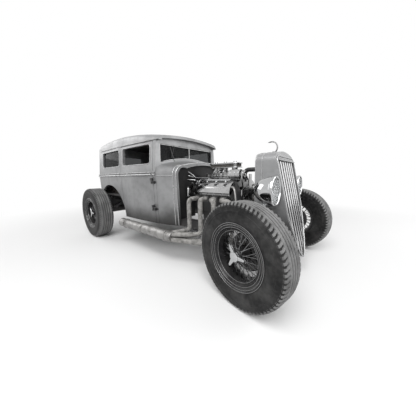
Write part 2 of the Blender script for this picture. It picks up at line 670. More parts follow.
class PatternTrees:
    """Geometry Nodes trees for what repeats round an axis, along a line or along a path."""

    BEND_POINTS = 10
    LAP_POINTS = 4
    WRAP_SEED = 7
    WRAP_DRIFT = 0.35
    PIPE_SIDES = 18

    def __init__(self) -> None:
        """Build the four trees."""
        self.ring = self._ring()
        self.row = self._row()
        self.wrap = self._wrap()
        self.follow = self._follow()

    @staticmethod
    def _open(name: str, **inputs: str) -> TreeMaker:
        """Open a tree with geometry in and out, the named inputs and a material."""
        return TreeMaker.group(name, "GeometryNodeTree", {"Geometry": "Geometry", **inputs, "Material": "Material"},
                               {"Geometry": "Geometry"})

    @staticmethod
    def _close(make: TreeMaker, geometry: Socket) -> Tree:
        """End a tree in real geometry with its material.

        Args:
            make: the tree's maker.
            geometry: what the tree has made so far.

        Returns:
            The tree.
        """
        real = make.add("GeometryNodeRealizeInstances", {"Geometry": geometry}).outputs["Geometry"]
        dress = make.add("GeometryNodeSetMaterial", {"Geometry": real, "Material": make.take("Material")})
        return make.give(Geometry=dress.outputs["Geometry"])

    def _spread(self, make: TreeMaker, **inputs: Socket) -> Tree:
        """End a tree in copies of an instance on points."""
        return self._close(make, make.add("GeometryNodeInstanceOnPoints", inputs).outputs["Instances"])

    def _ring(self) -> Tree:
        """Copies of the input turned evenly about Z.

        Returns:
            The tree.
        """
        make = self._open("ring_pattern", Count="Int")
        count = make.take("Count")
        points = make.add("GeometryNodePoints", {"Count": count}).outputs[0]
        share = make.math("DIVIDE", make.add("GeometryNodeInputIndex").outputs[0], count)
        angles = make.add("ShaderNodeCombineXYZ", {"Z": make.times(share, math.tau)}).outputs[0]
        rotation = make.add("FunctionNodeEulerToRotation", {0: angles}).outputs[0]
        return self._spread(make, Points=points, Instance=make.take("Geometry"), Rotation=rotation)

    def _row(self) -> Tree:
        """Copies of the input stepped along a line.

        Returns:
            The tree.
        """
        make = self._open("row_pattern", Count="Int", Step="Vector")
        inputs = {"Count": make.take("Count"), "Offset": make.take("Step")}
        line = make.add("GeometryNodeMeshLine", inputs, mode="OFFSET").outputs[0]
        return self._spread(make, Points=line, Instance=make.take("Geometry"))

    def _wrap(self) -> Tree:
        """A tape-wrapped pipe along the input's edges, with rounded bends and lapped turns.

        Returns:
            The tree.
        """
        make = self._open("wrapped_pipe", Radius="Float", Bend="Float", Lap="Float", Rise="Float")
        rise = make.take("Rise")
        path = make.add("GeometryNodeMeshToCurve", {0: make.take("Geometry")}).outputs[0]
        inputs = {"Curve": path, "Radius": make.take("Bend"), "Count": self.BEND_POINTS}
        bend = make.add("GeometryNodeFilletCurve", inputs, mode="POLY").outputs[0]
        step = make.math("DIVIDE", make.take("Lap"), float(self.LAP_POINTS))
        even = make.add("GeometryNodeResampleCurve", {"Curve": bend, "Length": step}, mode="LENGTH").outputs[0]
        spot = make.math("MODULO", make.add("GeometryNodeInputIndex").outputs[0], float(self.LAP_POINTS))
        lift = make.times(make.math("DIVIDE", spot, self.LAP_POINTS - 1.0), rise)
        rough = make.add("FunctionNodeRandomValue", {"Seed": self.WRAP_SEED}, data_type="FLOAT").outputs[1]
        drift = make.times(rough, make.times(rise, self.WRAP_DRIFT))
        size = make.math("ADD", make.take("Radius"), make.math("ADD", lift, drift))
        thick = make.add("GeometryNodeSetCurveRadius", {"Curve": even, "Radius": size}).outputs[0]
        ring = make.add("GeometryNodeCurvePrimitiveCircle", {"Resolution": self.PIPE_SIDES, "Radius": 1.0}).outputs[0]
        skin = make.add("GeometryNodeCurveToMesh", {"Curve": thick, "Profile Curve": ring, "Fill Caps": True})
        if "Scale" in skin.inputs:
            make.feed(skin, {"Scale": make.add("GeometryNodeInputRadius").outputs[0]})
        return self._close(make, skin.outputs[0])

    def _follow(self) -> Tree:
        """Small blocks set evenly along the input's edges, square to their run.

        Returns:
            The tree.
        """
        make = self._open("follow_pattern", Count="Int", Size="Vector")
        path = make.add("GeometryNodeMeshToCurve", {0: make.take("Geometry")}).outputs[0]
        inputs = {"Curve": path, "Count": make.take("Count")}
        spots = make.add("GeometryNodeCurveToPoints", inputs, mode="COUNT").outputs
        run = make.add("FunctionNodeAlignRotationToVector", {"Vector": spots["Tangent"]}, axis="Y", pivot_axis="Z")
        block = make.add("GeometryNodeMeshCube", {"Size": make.take("Size")}).outputs["Mesh"]
        return self._spread(make, Points=spots["Points"], Instance=block, Rotation=run.outputs[0])

    @staticmethod
    def made(tree: Tree, template: Mesh, material: bpy.types.Material, **values: float | int | Point) -> Mesh:
        """Run a tree on a template.

        Args:
            tree: one of the pattern trees.
            template: the mesh that is repeated or followed.
            material: material of the result.
            values: the tree's inputs by name.

        Returns:
            The result as a plain mesh.
        """
        holder = bpy.data.objects.new("pattern", template)
        bpy.context.collection.objects.link(holder)
        pattern = holder.modifiers.new("pattern", "NODES")
        pattern.node_group = tree
        values["Material"] = material
        for item in tree.interface.items_tree:
            if item.in_out == "INPUT" and item.name in values:
                pattern[item.identifier] = values[item.name]
        holder.update_tag()
        graph = bpy.context.evaluated_depsgraph_get()
        mesh = bpy.data.meshes.new_from_object(holder.evaluated_get(graph))
        bpy.data.objects.remove(holder)
        return mesh


class Workbench:
    """Turns meshes into pieces of the car."""

    def __init__(self) -> None:
        """Make the shader kit and the pattern trees."""
        self.shaders = ShaderKit()
        self.trees = PatternTrees()

    def piece(self, name: str, form: Mesh | list[Part], finish: Finish, body: str = CHASSIS,
              place: Matrix | None = None, replaces: tuple[str, ...] = ()) -> bpy.types.Object:
        """Make one piece, dress it and let it ride on its body.

        Args:
            name: the piece's name.
            form: its mesh, or the parts that are joined into it.
            finish: its surface.
            body: the body that it moves with.
            place: where the form goes in the car's frame.
            replaces: nodes of the frame that the piece stands for.

        Returns:
            The finished piece.
        """
        mesh = MeshShop.joined(form) if isinstance(form, list) else form
        if place is not None:
            mesh.transform(place)
            if place.determinant() < 0:
                mesh.flip_normals()
        mesh.materials.clear()
        mesh.materials.append(self.shaders.material(finish))
        for polygon in mesh.polygons:
            polygon.material_index = 0
        mesh.name = name
        made = bpy.data.objects.new(name, mesh)
        bpy.context.collection.objects.link(made)
        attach(made, body)
        if replaces:
            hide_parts(*replaces)
        return made

    def pattern(self, tree: Tree, template: Mesh, finish: Finish, **values: float | int | Point) -> Mesh:
        """Run a pattern tree with a finish's material and return the mesh."""
        return self.trees.made(tree, template, self.shaders.material(finish), **values)

    def ring(self, template: Mesh, finish: Finish, count: int) -> Mesh:
        """Repeat a form about Z."""
        return self.pattern(self.trees.ring, template, finish, Count=count)

    def row(self, template: Mesh, finish: Finish, count: int, step: Point) -> Mesh:
        """Repeat a form along a line."""
        return self.pattern(self.trees.row, template, finish, Count=count, Step=step)


@dataclass
class RoadWheel:
    """One wire wheel and its tyre, drawn about Z with the outer face up."""

    corner: str
    centre: Point
    outward: Point
    tyre_r: float
    tyre_w: float
    rim_r: float = 0.204
    rim_inset: float = 0.018
    well_depth: float = 0.032
    rim_sheet: float = 0.004
    hub_r: float = 0.046
    hub_out: float = 0.064
    hub_in: float = 0.046
    drum_r: float = 0.142
    drum_l: float = 0.042
    drum_fins: int = 4
    bolt_r: float = 0.008
    bolt_ring_r: float = 0.086
    bolts: int = 8
    spoke_r: float = 0.0027
    spoke_foot_r: float = 0.043
    spoke_lace_deg: float = 15.0
    spokes: int = 12
    spinner_r: float = 0.088
    spinner_t: float = 0.022
    nut_r: float = 0.037
    pitches: int = 72
    groove: float = 0.0095
    ridge_r: float = 0.0015
    tyre_steps: int = 144
    rim_steps: int = 96

    BEAD = ((0.0, -0.020), (0.016, -0.018), (0.018, -0.013), (0.022, -0.010), (0.026, -0.0105))
    SIDE = ((0.24, -0.005), (0.36, -0.0015), (0.50, 0.0), (0.62, -0.001), (0.635, 0.0008), (0.655, 0.0008),
            (0.67, -0.0015), (0.78, -0.004))
    SHOULDER = ((-0.026, -0.0065), (-0.022, -0.0050), (-0.016, -0.0075), (-0.0105, -0.0125), (-0.0095, -0.0145),
                (-0.0125, -0.0165))
    RIM_FACE = (
        (0.012, -0.001), (0.028, 0.003), (0.0325, 0.0085), (0.0335, 0.0115), (0.0310, 0.0140), (0.0270, 0.0132),
        (0.0235, 0.0090), (0.0190, 0.0082), (0.0165, 0.0095), (0.0140, 0.0085), (0.011, 0.0055), (0.008, 0.0035),
        (0.004, 0.002), (0.001, 0.0045), (-0.003, 0.0040), (-0.005, -0.0005), (-0.008, -0.004), (-0.011, -0.0015),
        (-0.015, -0.0025), (-0.017, -0.009), (-0.020, -0.012), (-0.023, -0.0095), (-0.0265, -0.012),
        (-0.027, -0.020),
    )
    RIM_BACK = ((-0.024, 0.02), (-0.006, -0.004), (0.016, -0.005), (0.016, 0.0), (0.0, 0.0))
    RIDGES = ((0.0305, 0.0136), (0.0165, 0.0090), (-0.0010, 0.0042), (-0.0240, -0.0100))
    HUB_TOP = ((-0.004, 0.0), (0.0, -0.004), (0.0, -0.016), (-0.007, -0.022))
    HUB_FOOT = ((-0.004, 0.018), (0.004, 0.010), (0.004, 0.0))
    DOME = ((0.0, 0.001), (0.010, 0.0008), (0.020, -0.0005), (0.026, -0.004), (0.0, -0.004))

    @property
    def place(self) -> Matrix:
        """The wheel's own frame in the car's frame.

        Returns:
            The frame as a matrix.
        """
        out = Vector(self.outward).normalized()
        fore = Vector((0.0, 0.0, 1.0)).cross(out)
        return Matrix.Translation(self.centre) @ Matrix((fore, out.cross(fore), out)).transposed().to_4x4()

    @property
    def front(self) -> bool:
        """Whether this is one of the front pair, whose tread has fewer ribs."""
        return self.corner.startswith("front")

    @property
    def slot_in(self) -> float:
        """Distance from the middle to the inner edge of the shoulder lugs."""
        return self.tyre_w / 2 - (0.036 if self.front else 0.030)

    @property
    def rim_half(self) -> float:
        """Half the width between the rim's flanges."""
        return self.tyre_w / 2 - self.rim_inset

    def build(self, bench: Workbench) -> None:
        """Make the tyre, its tread, the rim, spokes, drum and winged nut.

        Args:
            bench: makes and dresses the pieces.
        """
        for name, mesh, finish, slot, replaces in (
            ("tyre_case", self._case(), TYRE, "tyre", (f"tyre_{self.corner}",)),
            ("tread", self._tread(bench), TREAD, "tyre", ()),
            ("rim", self._rim(), WHEEL_BLACK, "wheel_black", (f"wheel_{self.corner}",)),
            ("rim_ridges", self._ridges(), CAST_ALLOY, "chrome", ()),
            ("spokes", self._spokes(bench), SPOKE_STEEL, "chrome", ()),
            ("drum_bolts", self._drum_bolts(bench), CHROME, "chrome", ()),
            ("drum", self._drum(), DRUM_IRON, "wheel_black", ()),
            ("winged_nut", self._nut(bench), CHROME, "chrome", ()),
        ):
            bench.piece(f"{name}_{self.corner}", mesh, finish, f"road_wheel_{self.corner}", self.place,
                        replaces)

    def _case(self) -> Mesh:
        """The tyre's case: bulged sides with moulded rings, a shoulder edge and the floor of the grooves.

        Returns:
            The mesh.
        """
        half, r, bead = self.tyre_w / 2, self.tyre_r, self.rim_r + 0.001
        side = offset(self.BEAD, bead, half)
        side += [(bead + share * (r - bead), half + out) for share, out in self.SIDE]
        side += [*offset(self.SHOULDER, r, half), (r - 0.0110, self.slot_in + 0.0008)]
        floor = [(r - self.groove, self.slot_in), (r - self.groove, -self.slot_in)]
        under = [(radius, -height) for radius, height in reversed(side)]
        return MeshShop.lathe(side + floor + under, self.tyre_steps)

    def _ribs(self) -> list[Mesh]:
        """Ribs round the middle of the tread with grooves between them.

        Returns:
            A mesh for each rib.
        """
        r = self.tyre_r
        count, gap = (4, 0.0075) if self.front else (5, 0.0090)
        pitch = 2 * self.slot_in / count
        ribs = []
        for i in range(count):
            top = self.slot_in - i * pitch - (gap / 2 if i else 0.0)
            low = self.slot_in - (i + 1) * pitch + (gap / 2 if i < count - 1 else 0.0)
            ring = [(r - 0.012, top), (r - 0.0016, top), (r - 0.0007, top - 0.0015), (r - 0.0003, (top + low) / 2),
                    (r - 0.0007, low + 0.0015), (r - 0.0016, low), (r - 0.012, low)]
            ribs.append(MeshShop.lathe(ring, self.tyre_steps))
        return ribs

    def _tread(self, bench: Workbench) -> Mesh:
        """Ribs, and slanted lugs that run out over each shoulder, one pitch repeated about the axle.

        Args:
            bench: makes and dresses the pieces.

        Returns:
            The mesh.
        """
        half, r = self.tyre_w / 2, self.tyre_r
        step = math.tau * r / self.pitches
        wide, skew = step * 0.27, step * 0.20
        run = ((self.slot_in - 0.001, r - 0.0009, r - 0.016, skew), (half - 0.0155, r - 0.0060, r - 0.018, -skew),
               (half - 0.0060, r - 0.0150, r - 0.026, -skew * 1.5))
        blocks = []
        for side in SIDES:
            shape = bmesh.new()
            rings = []
            for height, top, foot, slant in run:
                ring = [(foot, -wide), (top, -wide * 0.92), (top, wide * 0.92), (foot, wide)]
                rings.append([shape.verts.new((x, y + side * slant, side * height)) for x, y in ring])
            MeshShop.bridge(shape, rings)
            shape.faces.new(rings[0])
            shape.faces.new(rings[-1][::-1])
            blocks.append(MeshShop.close(shape, "lug"))
        return MeshShop.joined([bench.ring(MeshShop.joined(blocks), TREAD, self.pitches), *self._ribs()])

    def _rim(self) -> Mesh:
        """Stepped and ridged rim with its well, and the hub.

        Returns:
            The mesh.
        """
        half, seat, r = self.rim_half, self.rim_r, self.hub_r
        well = seat - self.well_depth
        floor = [(well - self.rim_sheet, half * share) for share in (0.42, 0.30, -0.30)]
        seats = [(well, -half / 3), (well, half / 3), (seat, half - 0.004)]
        rim = MeshShop.lathe(offset(self.RIM_FACE, seat, half) + floor + offset(self.RIM_BACK, seat, -half) + seats,
                             self.rim_steps)
        hub = MeshShop.lathe([(0.0, self.hub_out), *offset(self.HUB_TOP, r, self.hub_out), (r - 0.011, 0.0),
                              *offset(self.HUB_FOOT, r, -self.hub_in), (0.0, -self.hub_in)], 40, False)
        return MeshShop.joined([rim, hub])

    def _ridges(self) -> Mesh:
        """The rim's rubbed ridges, as thin bright rings.

        Returns:
            The mesh.
        """
        section = circle(self.ridge_r, 8)
        return MeshShop.joined([MeshShop.lathe(offset(section, *top), self.rim_steps)
                                for top in offset(self.RIDGES, self.rim_r, self.rim_half)])

    def _spokes(self, bench: Workbench) -> Mesh:
        """Two rows of crossed spokes with a nipple at the rim.

        Args:
            bench: makes and dresses the pieces.

        Returns:
            The mesh.
        """
        half, tip_r = self.rim_half, self.rim_r - 0.038
        rows = ((self.hub_out - 0.012, half * 0.30), (-self.hub_in + 0.012, -half * 0.30))
        parts = []
        for row, (hub_z, rim_z) in enumerate(rows):
            for way in SIDES:
                foot_turn = math.tau / self.spokes * (row / 4 + way * 0.25)
                tip_turn = foot_turn + way * math.radians(self.spoke_lace_deg)
                foot, tip = (Vector((r * math.cos(angle), r * math.sin(angle), z)) for r, angle, z in (
                    (self.spoke_foot_r, foot_turn, hub_z), (tip_r, tip_turn, rim_z)))
                parts.append(MeshShop.tube([foot, tip], self.spoke_r, 7))
                parts.append(MeshShop.tube([foot.lerp(tip, 0.90), tip], self.spoke_r * 1.9, 6))
        return bench.ring(MeshShop.joined(parts), SPOKE_STEEL, self.spokes)

    def _drum(self) -> Mesh:
        """Finned brake drum.

        Returns:
            The mesh.
        """
        r, face = self.drum_r, -self.hub_in
        fins: list[Flat] = []
        pitch = (self.drum_l - 0.008) / self.drum_fins
        for i in range(self.drum_fins):
            z = face - 0.006 - i * pitch
            fins += [(r - 0.006, z), (r, z - pitch * 0.25), (r, z - pitch * 0.6), (r - 0.006, z - pitch * 0.8)]
        return MeshShop.lathe(
            [(0.020, face - 0.001), (0.060, face - 0.001), (0.070, face - 0.006), (r - 0.030, face - 0.004),
             (r - 0.010, face), *fins, (r - 0.004, face - self.drum_l), (r - 0.010, face - self.drum_l),
             (r - 0.012, face - 0.010), (0.020, face - 0.010)], 72)

    def _drum_bolts(self, bench: Workbench) -> Mesh:
        """A ring of bolts on the drum's face.

        Args:
            bench: makes and dresses the pieces.

        Returns:
            The mesh.
        """
        bolt = MeshShop.bar(circle(self.bolt_r, 6), -self.hub_in - 0.006, -self.hub_in + 0.006, 0.001)
        bolt.transform(shift(self.bolt_ring_r, 0.0, 0.0))
        return bench.ring(bolt, CHROME, self.bolts)

    def _nut(self, bench: Workbench) -> Mesh:
        """Eight-sided knock-off nut with three tapered wings.

        Args:
            bench: makes and dresses the pieces.

        Returns:
            The mesh.
        """
        low, high, r = self.hub_out - 0.001, self.hub_out + self.spinner_t, self.spinner_r
        edge = [(0.0, 0.019), (r - 0.008, 0.0095), (r, 0.005)]
        wing = MeshShop.bar([(x, -y) for x, y in edge] + edge[::-1], low + 0.004, high - 0.003, 0.0025)
        nut = MeshShop.bar(circle(self.nut_r, 8, 0.5), low, high, 0.003)
        return MeshShop.joined([bench.ring(wing, CHROME, 3), nut,
                                MeshShop.lathe(offset(self.DOME, 0.0, high), 32, False)])


@dataclass
class Exhausts:
    """Wrapped header pipes and plain side pipes on both sides."""

    front_x: float
    port_y: float = 0.304
    port_z: float = 0.680
    port_lead: float = 0.052
    pipe_r: float = 0.0225
    bend_r: float = 0.040
    lap: float = 0.022
    rise: float = 0.0022
    side_y: float = 0.628
    side_z: float = 0.296
    side_r: float = 0.058
    side_wall: float = 0.004
    side_bore: float = 0.300
    side_start: float = 0.870
    side_end: float = 1.960
    spread: float = 0.026
    run: float = 0.060
    port_backs: tuple[float, ...] = (0.802, 0.684, 0.566, 0.448)
    drops: tuple[tuple[float, float, float, float, float, int, int], ...] = (
        (0.800, 0.445, 0.345, 0.840, 0.560, 1, 1),
        (0.640, 0.445, 0.325, 0.740, 0.540, -1, 1),
        (0.470, 0.445, 0.262, 0.570, 0.510, -1, -1),
        (0.310, 0.402, 0.250, 0.590, 0.440, 1, -1),
    )

    CLAMP = ((-0.001, 0.016), (0.004, 0.015), (0.004, -0.015), (-0.001, -0.016))

    def build(self, bench: Workbench) -> None:
        """Make the wrapped pipes and the side pipes, which together stand for the exhaust node.

        Args:
            bench: makes and dresses the pieces.
        """
        wraps = [self._pipe(bench, back, drop, side)
                 for back, drop in zip(self.port_backs, self.drops) for side in SIDES]
        bench.piece("header_wrap", wraps, PIPE_WRAP, replaces=("exhausts",))
        pipes = [(self._side_pipe(), shift(self.front_x, side * self.side_y, self.side_z)) for side in SIDES]
        bench.piece("side_pipes", pipes, PIPE_STEEL)

    def _pipe(self, bench: Workbench, back: float, drop: tuple, side: int) -> Mesh:
        """One pipe from its port down to the side pipe.

        Args:
            bench: the workbench.
            back: distance of the port behind the front axle.
            drop: place of the fall, its foot and its bend, and where it enters the side pipe.
            side: the car's side, -1 for the right.

        Returns:
            The wrapped pipe.
        """
        down_back, down_y, low_z, bend_back, bend_y, inward, upward = drop
        x = self.front_x
        points = [
            (x - back, self.port_y, self.port_z),
            (x - back, self.port_y + self.port_lead, self.port_z),
            (x - down_back, down_y, self.port_z),
            (x - down_back, down_y, low_z),
            (x - bend_back, bend_y, low_z),
            (x - self.side_start - self.run, self.side_y - inward * self.spread, self.side_z + upward * self.spread),
        ]
        route = bpy.data.meshes.new("route")
        route.from_pydata([(px, side * py, pz) for px, py, pz in points], [(i, i + 1) for i in range(5)], [])
        return bench.pattern(bench.trees.wrap, route, PIPE_WRAP, Radius=self.pipe_r, Bend=self.bend_r, Lap=self.lap,
                             Rise=self.rise)

    def _side_pipe(self) -> Mesh:
        """Open-ended side pipe with clamps, turned about its own axis and laid along the car.

        Returns:
            The mesh.
        """
        r, inner = self.side_r, self.side_r - self.side_wall
        start, end = -self.side_start, -self.side_end
        outer = [(0.030, start), (r - 0.010, start), (r - 0.002, start - 0.008), (r - 0.001, start - 0.03)]
        for clamp in (start - 0.10, (start + end) / 2, end + 0.12):
            outer += offset(self.CLAMP, r, clamp)
        outer += [(r - 0.001, end + 0.006), (r, end + 0.003), (r - 0.001, end), (inner, end),
                  (inner, end + self.side_bore), (0.030, end + self.side_bore)]
        pipe = MeshShop.lathe(outer, 40)
        pipe.transform(turned(90, "Y"))
        return pipe


@dataclass
class Grille:
    """Bright strips on dark webs between the header and the pointed chin, with the shell's lips and seams."""

    front_x: float
    bars: int = 7
    half: float = 0.260
    bar_half: float = 0.0215
    web_half: float = 0.0150
    crown: float = 0.0025
    web_crown: float = 0.0005
    strip_back: float = 0.0070
    strip_t: float = 0.0040
    web_back: float = 0.0105
    web_t: float = 0.0155
    top_z: float = 1.043
    shell_half: float = 0.276
    shell_top: float = 1.136
    shell_crown: float = 0.026
    corner: float = 0.070
    waist_z: float = 0.640
    seam_r: float = 0.0038
    lip_r: float = 0.0062
    seam_backs: tuple[float, ...] = (0.072, 0.128)
    face_top: Flat = (0.030, 1.136)
    face_tip: Flat = (0.246, 0.158)
    chin: tuple[Flat, ...] = ((0.0, 0.174), (0.159, 0.358), (0.260, 0.640))

    BROW = ((0.022, 0.0065, 0.238, 0.0042), (0.007, 0.0125, 0.256, 0.0048))

    def build(self, bench: Workbench) -> None:
        """Make the strips, the webs behind them, the lips and the seams.

        Args:
            bench: makes and dresses the pieces.
        """
        gap = 2 * (self.half - self.bars * self.bar_half) / (self.bars + 1)
        pitch = 2 * self.bar_half + gap
        rows = [pitch * (i - (self.bars - 1) / 2) for i in range(self.bars)]
        strips = [self._bar(y, self.bar_half, self.strip_back, self.crown, self.strip_t) for y in rows]
        webs = [self._bar(y, self.web_half, self.web_back, self.web_crown, self.web_t) for y in rows]
        bench.piece("bright_bars", strips, GRILLE_BRIGHT, replaces=("grille_bars",))
        bench.piece("bar_webs", webs, FRAME_PAINT)
        bench.piece("grille_lips", self._lips(), BEAD_STEEL)
        bench.piece("shell_seams", self._seams(), BEAD_STEEL)

    def _lips(self) -> list[Part]:
        """A bead all round the opening and two lips along the brow.

        Returns:
            Forms, bare or with their places.
        """
        y, top, bend = self.half + 0.0065, self.top_z + 0.042, self.corner - 0.010
        low = [(self.half * k / 14, self._chin_z(self.half * k / 14) - 0.006) for k in range(15)]
        outline = MeshShop.mirrored(low + arc(y - bend, top - bend, bend, 0.0, math.pi / 2, 8), False)
        lips = [MeshShop.tube([(self._face_x(pz) + 0.002, py, pz) for py, pz in outline], self.lip_r)]
        for rise, out, reach, radius in self.BROW:
            z = self.top_z + rise
            lips.append(MeshShop.tube([(self._face_x(z) + out, py, z) for py in (-reach, 0.0, reach)], radius))
        return lips

    def _seams(self) -> list[Part]:
        """Rolled seams over the shell from one waist to the other.

        Returns:
            Forms, bare or with their places.
        """
        foot = self.shell_half - self.corner
        shoulder = self.shell_top - self.shell_crown
        half = [(self.shell_half, self.waist_z + 0.02)]
        half += arc(foot, shoulder - self.corner, self.corner, 0.0, math.pi / 2, 9)
        half += [(foot * (1 - k / 6), self.shell_top - self.shell_crown * (1 - k / 6) ** 2) for k in range(1, 7)]
        outline = MeshShop.mirrored(half, True)
        return [MeshShop.tube([(self.front_x - back, y, z) for y, z in outline], self.seam_r, 8)
                for back in self.seam_backs]

    def _face_x(self, z: float) -> float:
        """Place of the raked face at a height."""
        (top, top_z), (tip, tip_z) = self.face_top, self.face_tip
        return self.front_x + tip + (top - tip) * (z - tip_z) / (top_z - tip_z)

    def _chin_z(self, y: float) -> float:
        """Height of the opening's lower edge at a distance from the middle.

        Args:
            y: distance from the middle.

        Returns:
            The height.
        """
        (ay, az), (by, bz), (cy, cz) = self.chin
        y = abs(y)
        return (az * (y - by) * (y - cy) / ((ay - by) * (ay - cy))
                + bz * (y - ay) * (y - cy) / ((by - ay) * (by - cy))
                + cz * (y - ay) * (y - by) / ((cy - ay) * (cy - by)))

    def _bar(self, y: float, half: float, back: float, crown: float, thick: float) -> Mesh:
        """One upright from the header down to the chin.

        Args:
            y: its place across the car.
            half: half its width.
            back: how far its edges lie behind the raked face.
            crown: how far its middle stands out.
            thick: its thickness behind the edges.

        Returns:
            The closed upright.
        """
        low = self._chin_z(max(abs(y) - half, 0.0)) - 0.004
        section = [(-math.cos(math.pi * k / 8), crown * math.sin(math.pi * k / 8)) for k in range(9)]
        section += [(1.0, -thick), (-1.0, -thick)]
        shape = bmesh.new()
        rings = []
        for z in (self.top_z, low):
            x = self._face_x(z) - back
            rings.append([shape.verts.new((x + out, y + side * half, z)) for side, out in section])
        MeshShop.bridge(shape, rings)
        shape.faces.new(rings[0])
        shape.faces.new(rings[1][::-1])
        return MeshShop.close(shape, "bar", 40.0)


@dataclass
class Headlamps:
    """Bright rims, bowls and bulbs of the two bullet lamps."""

    front_x: float
    y: float = 0.405
    z: float = 0.800
    face: float = 0.092
    radius: float = 0.112
    post_z: float = 0.662

    RIM = ((-0.012, 0.001), (-0.010, 0.006), (-0.004, 0.009), (0.002, 0.006), (0.0045, 0.0), (0.005, -0.012),
           (0.003, -0.016), (0.0006, -0.016), (0.0006, -0.001))
    BOWL = ((0.004, -0.104), (0.030, -0.098), (0.055, -0.084), (0.080, -0.060), (0.098, -0.034), (0.104, -0.017),
            (0.1055, -0.017), (0.100, -0.036), (0.082, -0.063), (0.056, -0.088), (0.030, -0.102), (0.004, -0.108))
    BULB_FORM = ((0.0, -0.050), (0.006, -0.052), (0.010, -0.058), (0.011, -0.066), (0.008, -0.076), (0.007, -0.106),
                 (0.0, -0.106))
    COLLAR = ((0.0155, 0.0), (0.030, 0.0), (0.031, 0.005), (0.022, 0.010), (0.018, 0.026), (0.0155, 0.030))

    def build(self, bench: Workbench) -> None:
        """Make the rims, the reflecting bowls, the bulbs and the post collars.

        Args:
            bench: makes and dresses the pieces.
        """
        for name, profile, steps, closed, finish, slot in (
            ("lamp_rims", offset(self.RIM, self.radius, 0.0), 64, True, CHROME, "chrome"),
            ("lamp_bowls", self.BOWL, 64, True, MIRROR, "chrome"),
            ("lamp_bulbs", self.BULB_FORM, 20, False, BULB, "lens"),
        ):
            parts = [(MeshShop.lathe(profile, steps, closed), facing(self.front_x + self.face, side * self.y, self.z))
                     for side in SIDES]
            bench.piece(name, parts, finish)
        collars = []
        for side in SIDES:
            low, high = (shift(self.front_x, side * self.y, z)
                         for z in (self.post_z - 0.004, self.z - self.radius + 0.006))
            collars += [(MeshShop.lathe(self.COLLAR, 32), place) for place in (low, high @ turned(180, "X"))]
        bench.piece("lamp_collars", collars, CHROME)


@dataclass
class TailLamps:
    """Bright shells and ringed red lenses of the two tail lamps."""

    y: float = 0.400
    z: float = 0.600
    radius: float = 0.042
    depth: float = 0.0275

    SHELL = ((0.0020, 0.0), (0.0026, 0.005))
    LIP = ((0.0026, -0.0040), (0.0042, -0.0020), (0.0042, 0.0012), (0.0025, 0.0028), (-0.0030, 0.0028),
           (-0.0042, 0.0005))
    LENS_RINGS = ((0.0, 0.0045), (0.006, 0.0044), (0.008, 0.0036), (0.014, 0.0040), (0.016, 0.0031), (0.022, 0.0034),
                  (0.024, 0.0025), (0.030, 0.0027), (0.032, 0.0018))

    def build(self, bench: Workbench) -> None:
        """Make the shells with their rims, and the lenses.

        Args:
            bench: makes and dresses the pieces.
        """
        r, face = self.radius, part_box("tail_lamps")[0][0]
        bore = [(r + 0.0004, 0.0005), (r + 0.0004, -self.depth)]
        shell = bore + offset(self.SHELL, r, -self.depth) + offset(self.LIP, r, 0.0)
        lens = [*self.LENS_RINGS, (r - 0.0035, 0.0018), (r - 0.0035, -0.0010), (0.0, -0.0010)]
        for name, profile, closed, finish, slot in (("tail_shells", shell, True, CHROME, "chrome"),
                                                    ("tail_lenses", lens, False, TAIL_RED, "tail_red")):
            parts = [(MeshShop.lathe(profile, 48, closed), facing(face, side * self.y, self.z, -90.0))
                     for side in SIDES]
            bench.piece(name, parts, finish)


@dataclass
class BodySide:
    """Where the body's side lies: an arc in plan that tapers below and above the belt."""

    screen_x: float
    rear_x: float
    mid_x: float
    visor_half: float = 0.556
    mid_half: float = 0.600
    rear_half: float = 0.572
    visor_reach: float = 0.124
    belt_z: float = 0.960
    tuck: float = math.tan(math.radians(2.0))
    tumble: float = math.tan(math.radians(4.5))

    def half(self, x: float, z: float) -> float:
        """Half width of the outer skin at a place and height.

        Args:
            x: place along the car.
            z: height.

        Returns:
            The half width.
        """
        ax, ay = self.rear_x, self.rear_half
        bx, by = self.mid_x, self.mid_half
        cx, cy = self.screen_x + self.visor_reach, self.visor_half
        d = 2 * (ax * (by - cy) + bx * (cy - ay) + cx * (ay - by))
        ux = ((ax**2 + ay**2) * (by - cy) + (bx**2 + by**2) * (cy - ay) + (cx**2 + cy**2) * (ay - by)) / d
        uy = ((ax**2 + ay**2) * (cx - bx) + (bx**2 + by**2) * (ax - cx) + (cx**2 + cy**2) * (bx - ax)) / d
        radius = math.hypot(ax - ux, ay - uy)
        lean = (self.belt_z - z) * self.tuck if z < self.belt_z else (z - self.belt_z) * self.tumble
        return uy + math.sqrt(radius**2 - (x - ux) ** 2) - lean

    def slope(self, x: float, z: float, reach: float) -> float:
        """Slope of the skin in plan, measured over a reach to either side."""
        return (self.half(x + reach, z) - self.half(x - reach, z)) / (2 * reach)


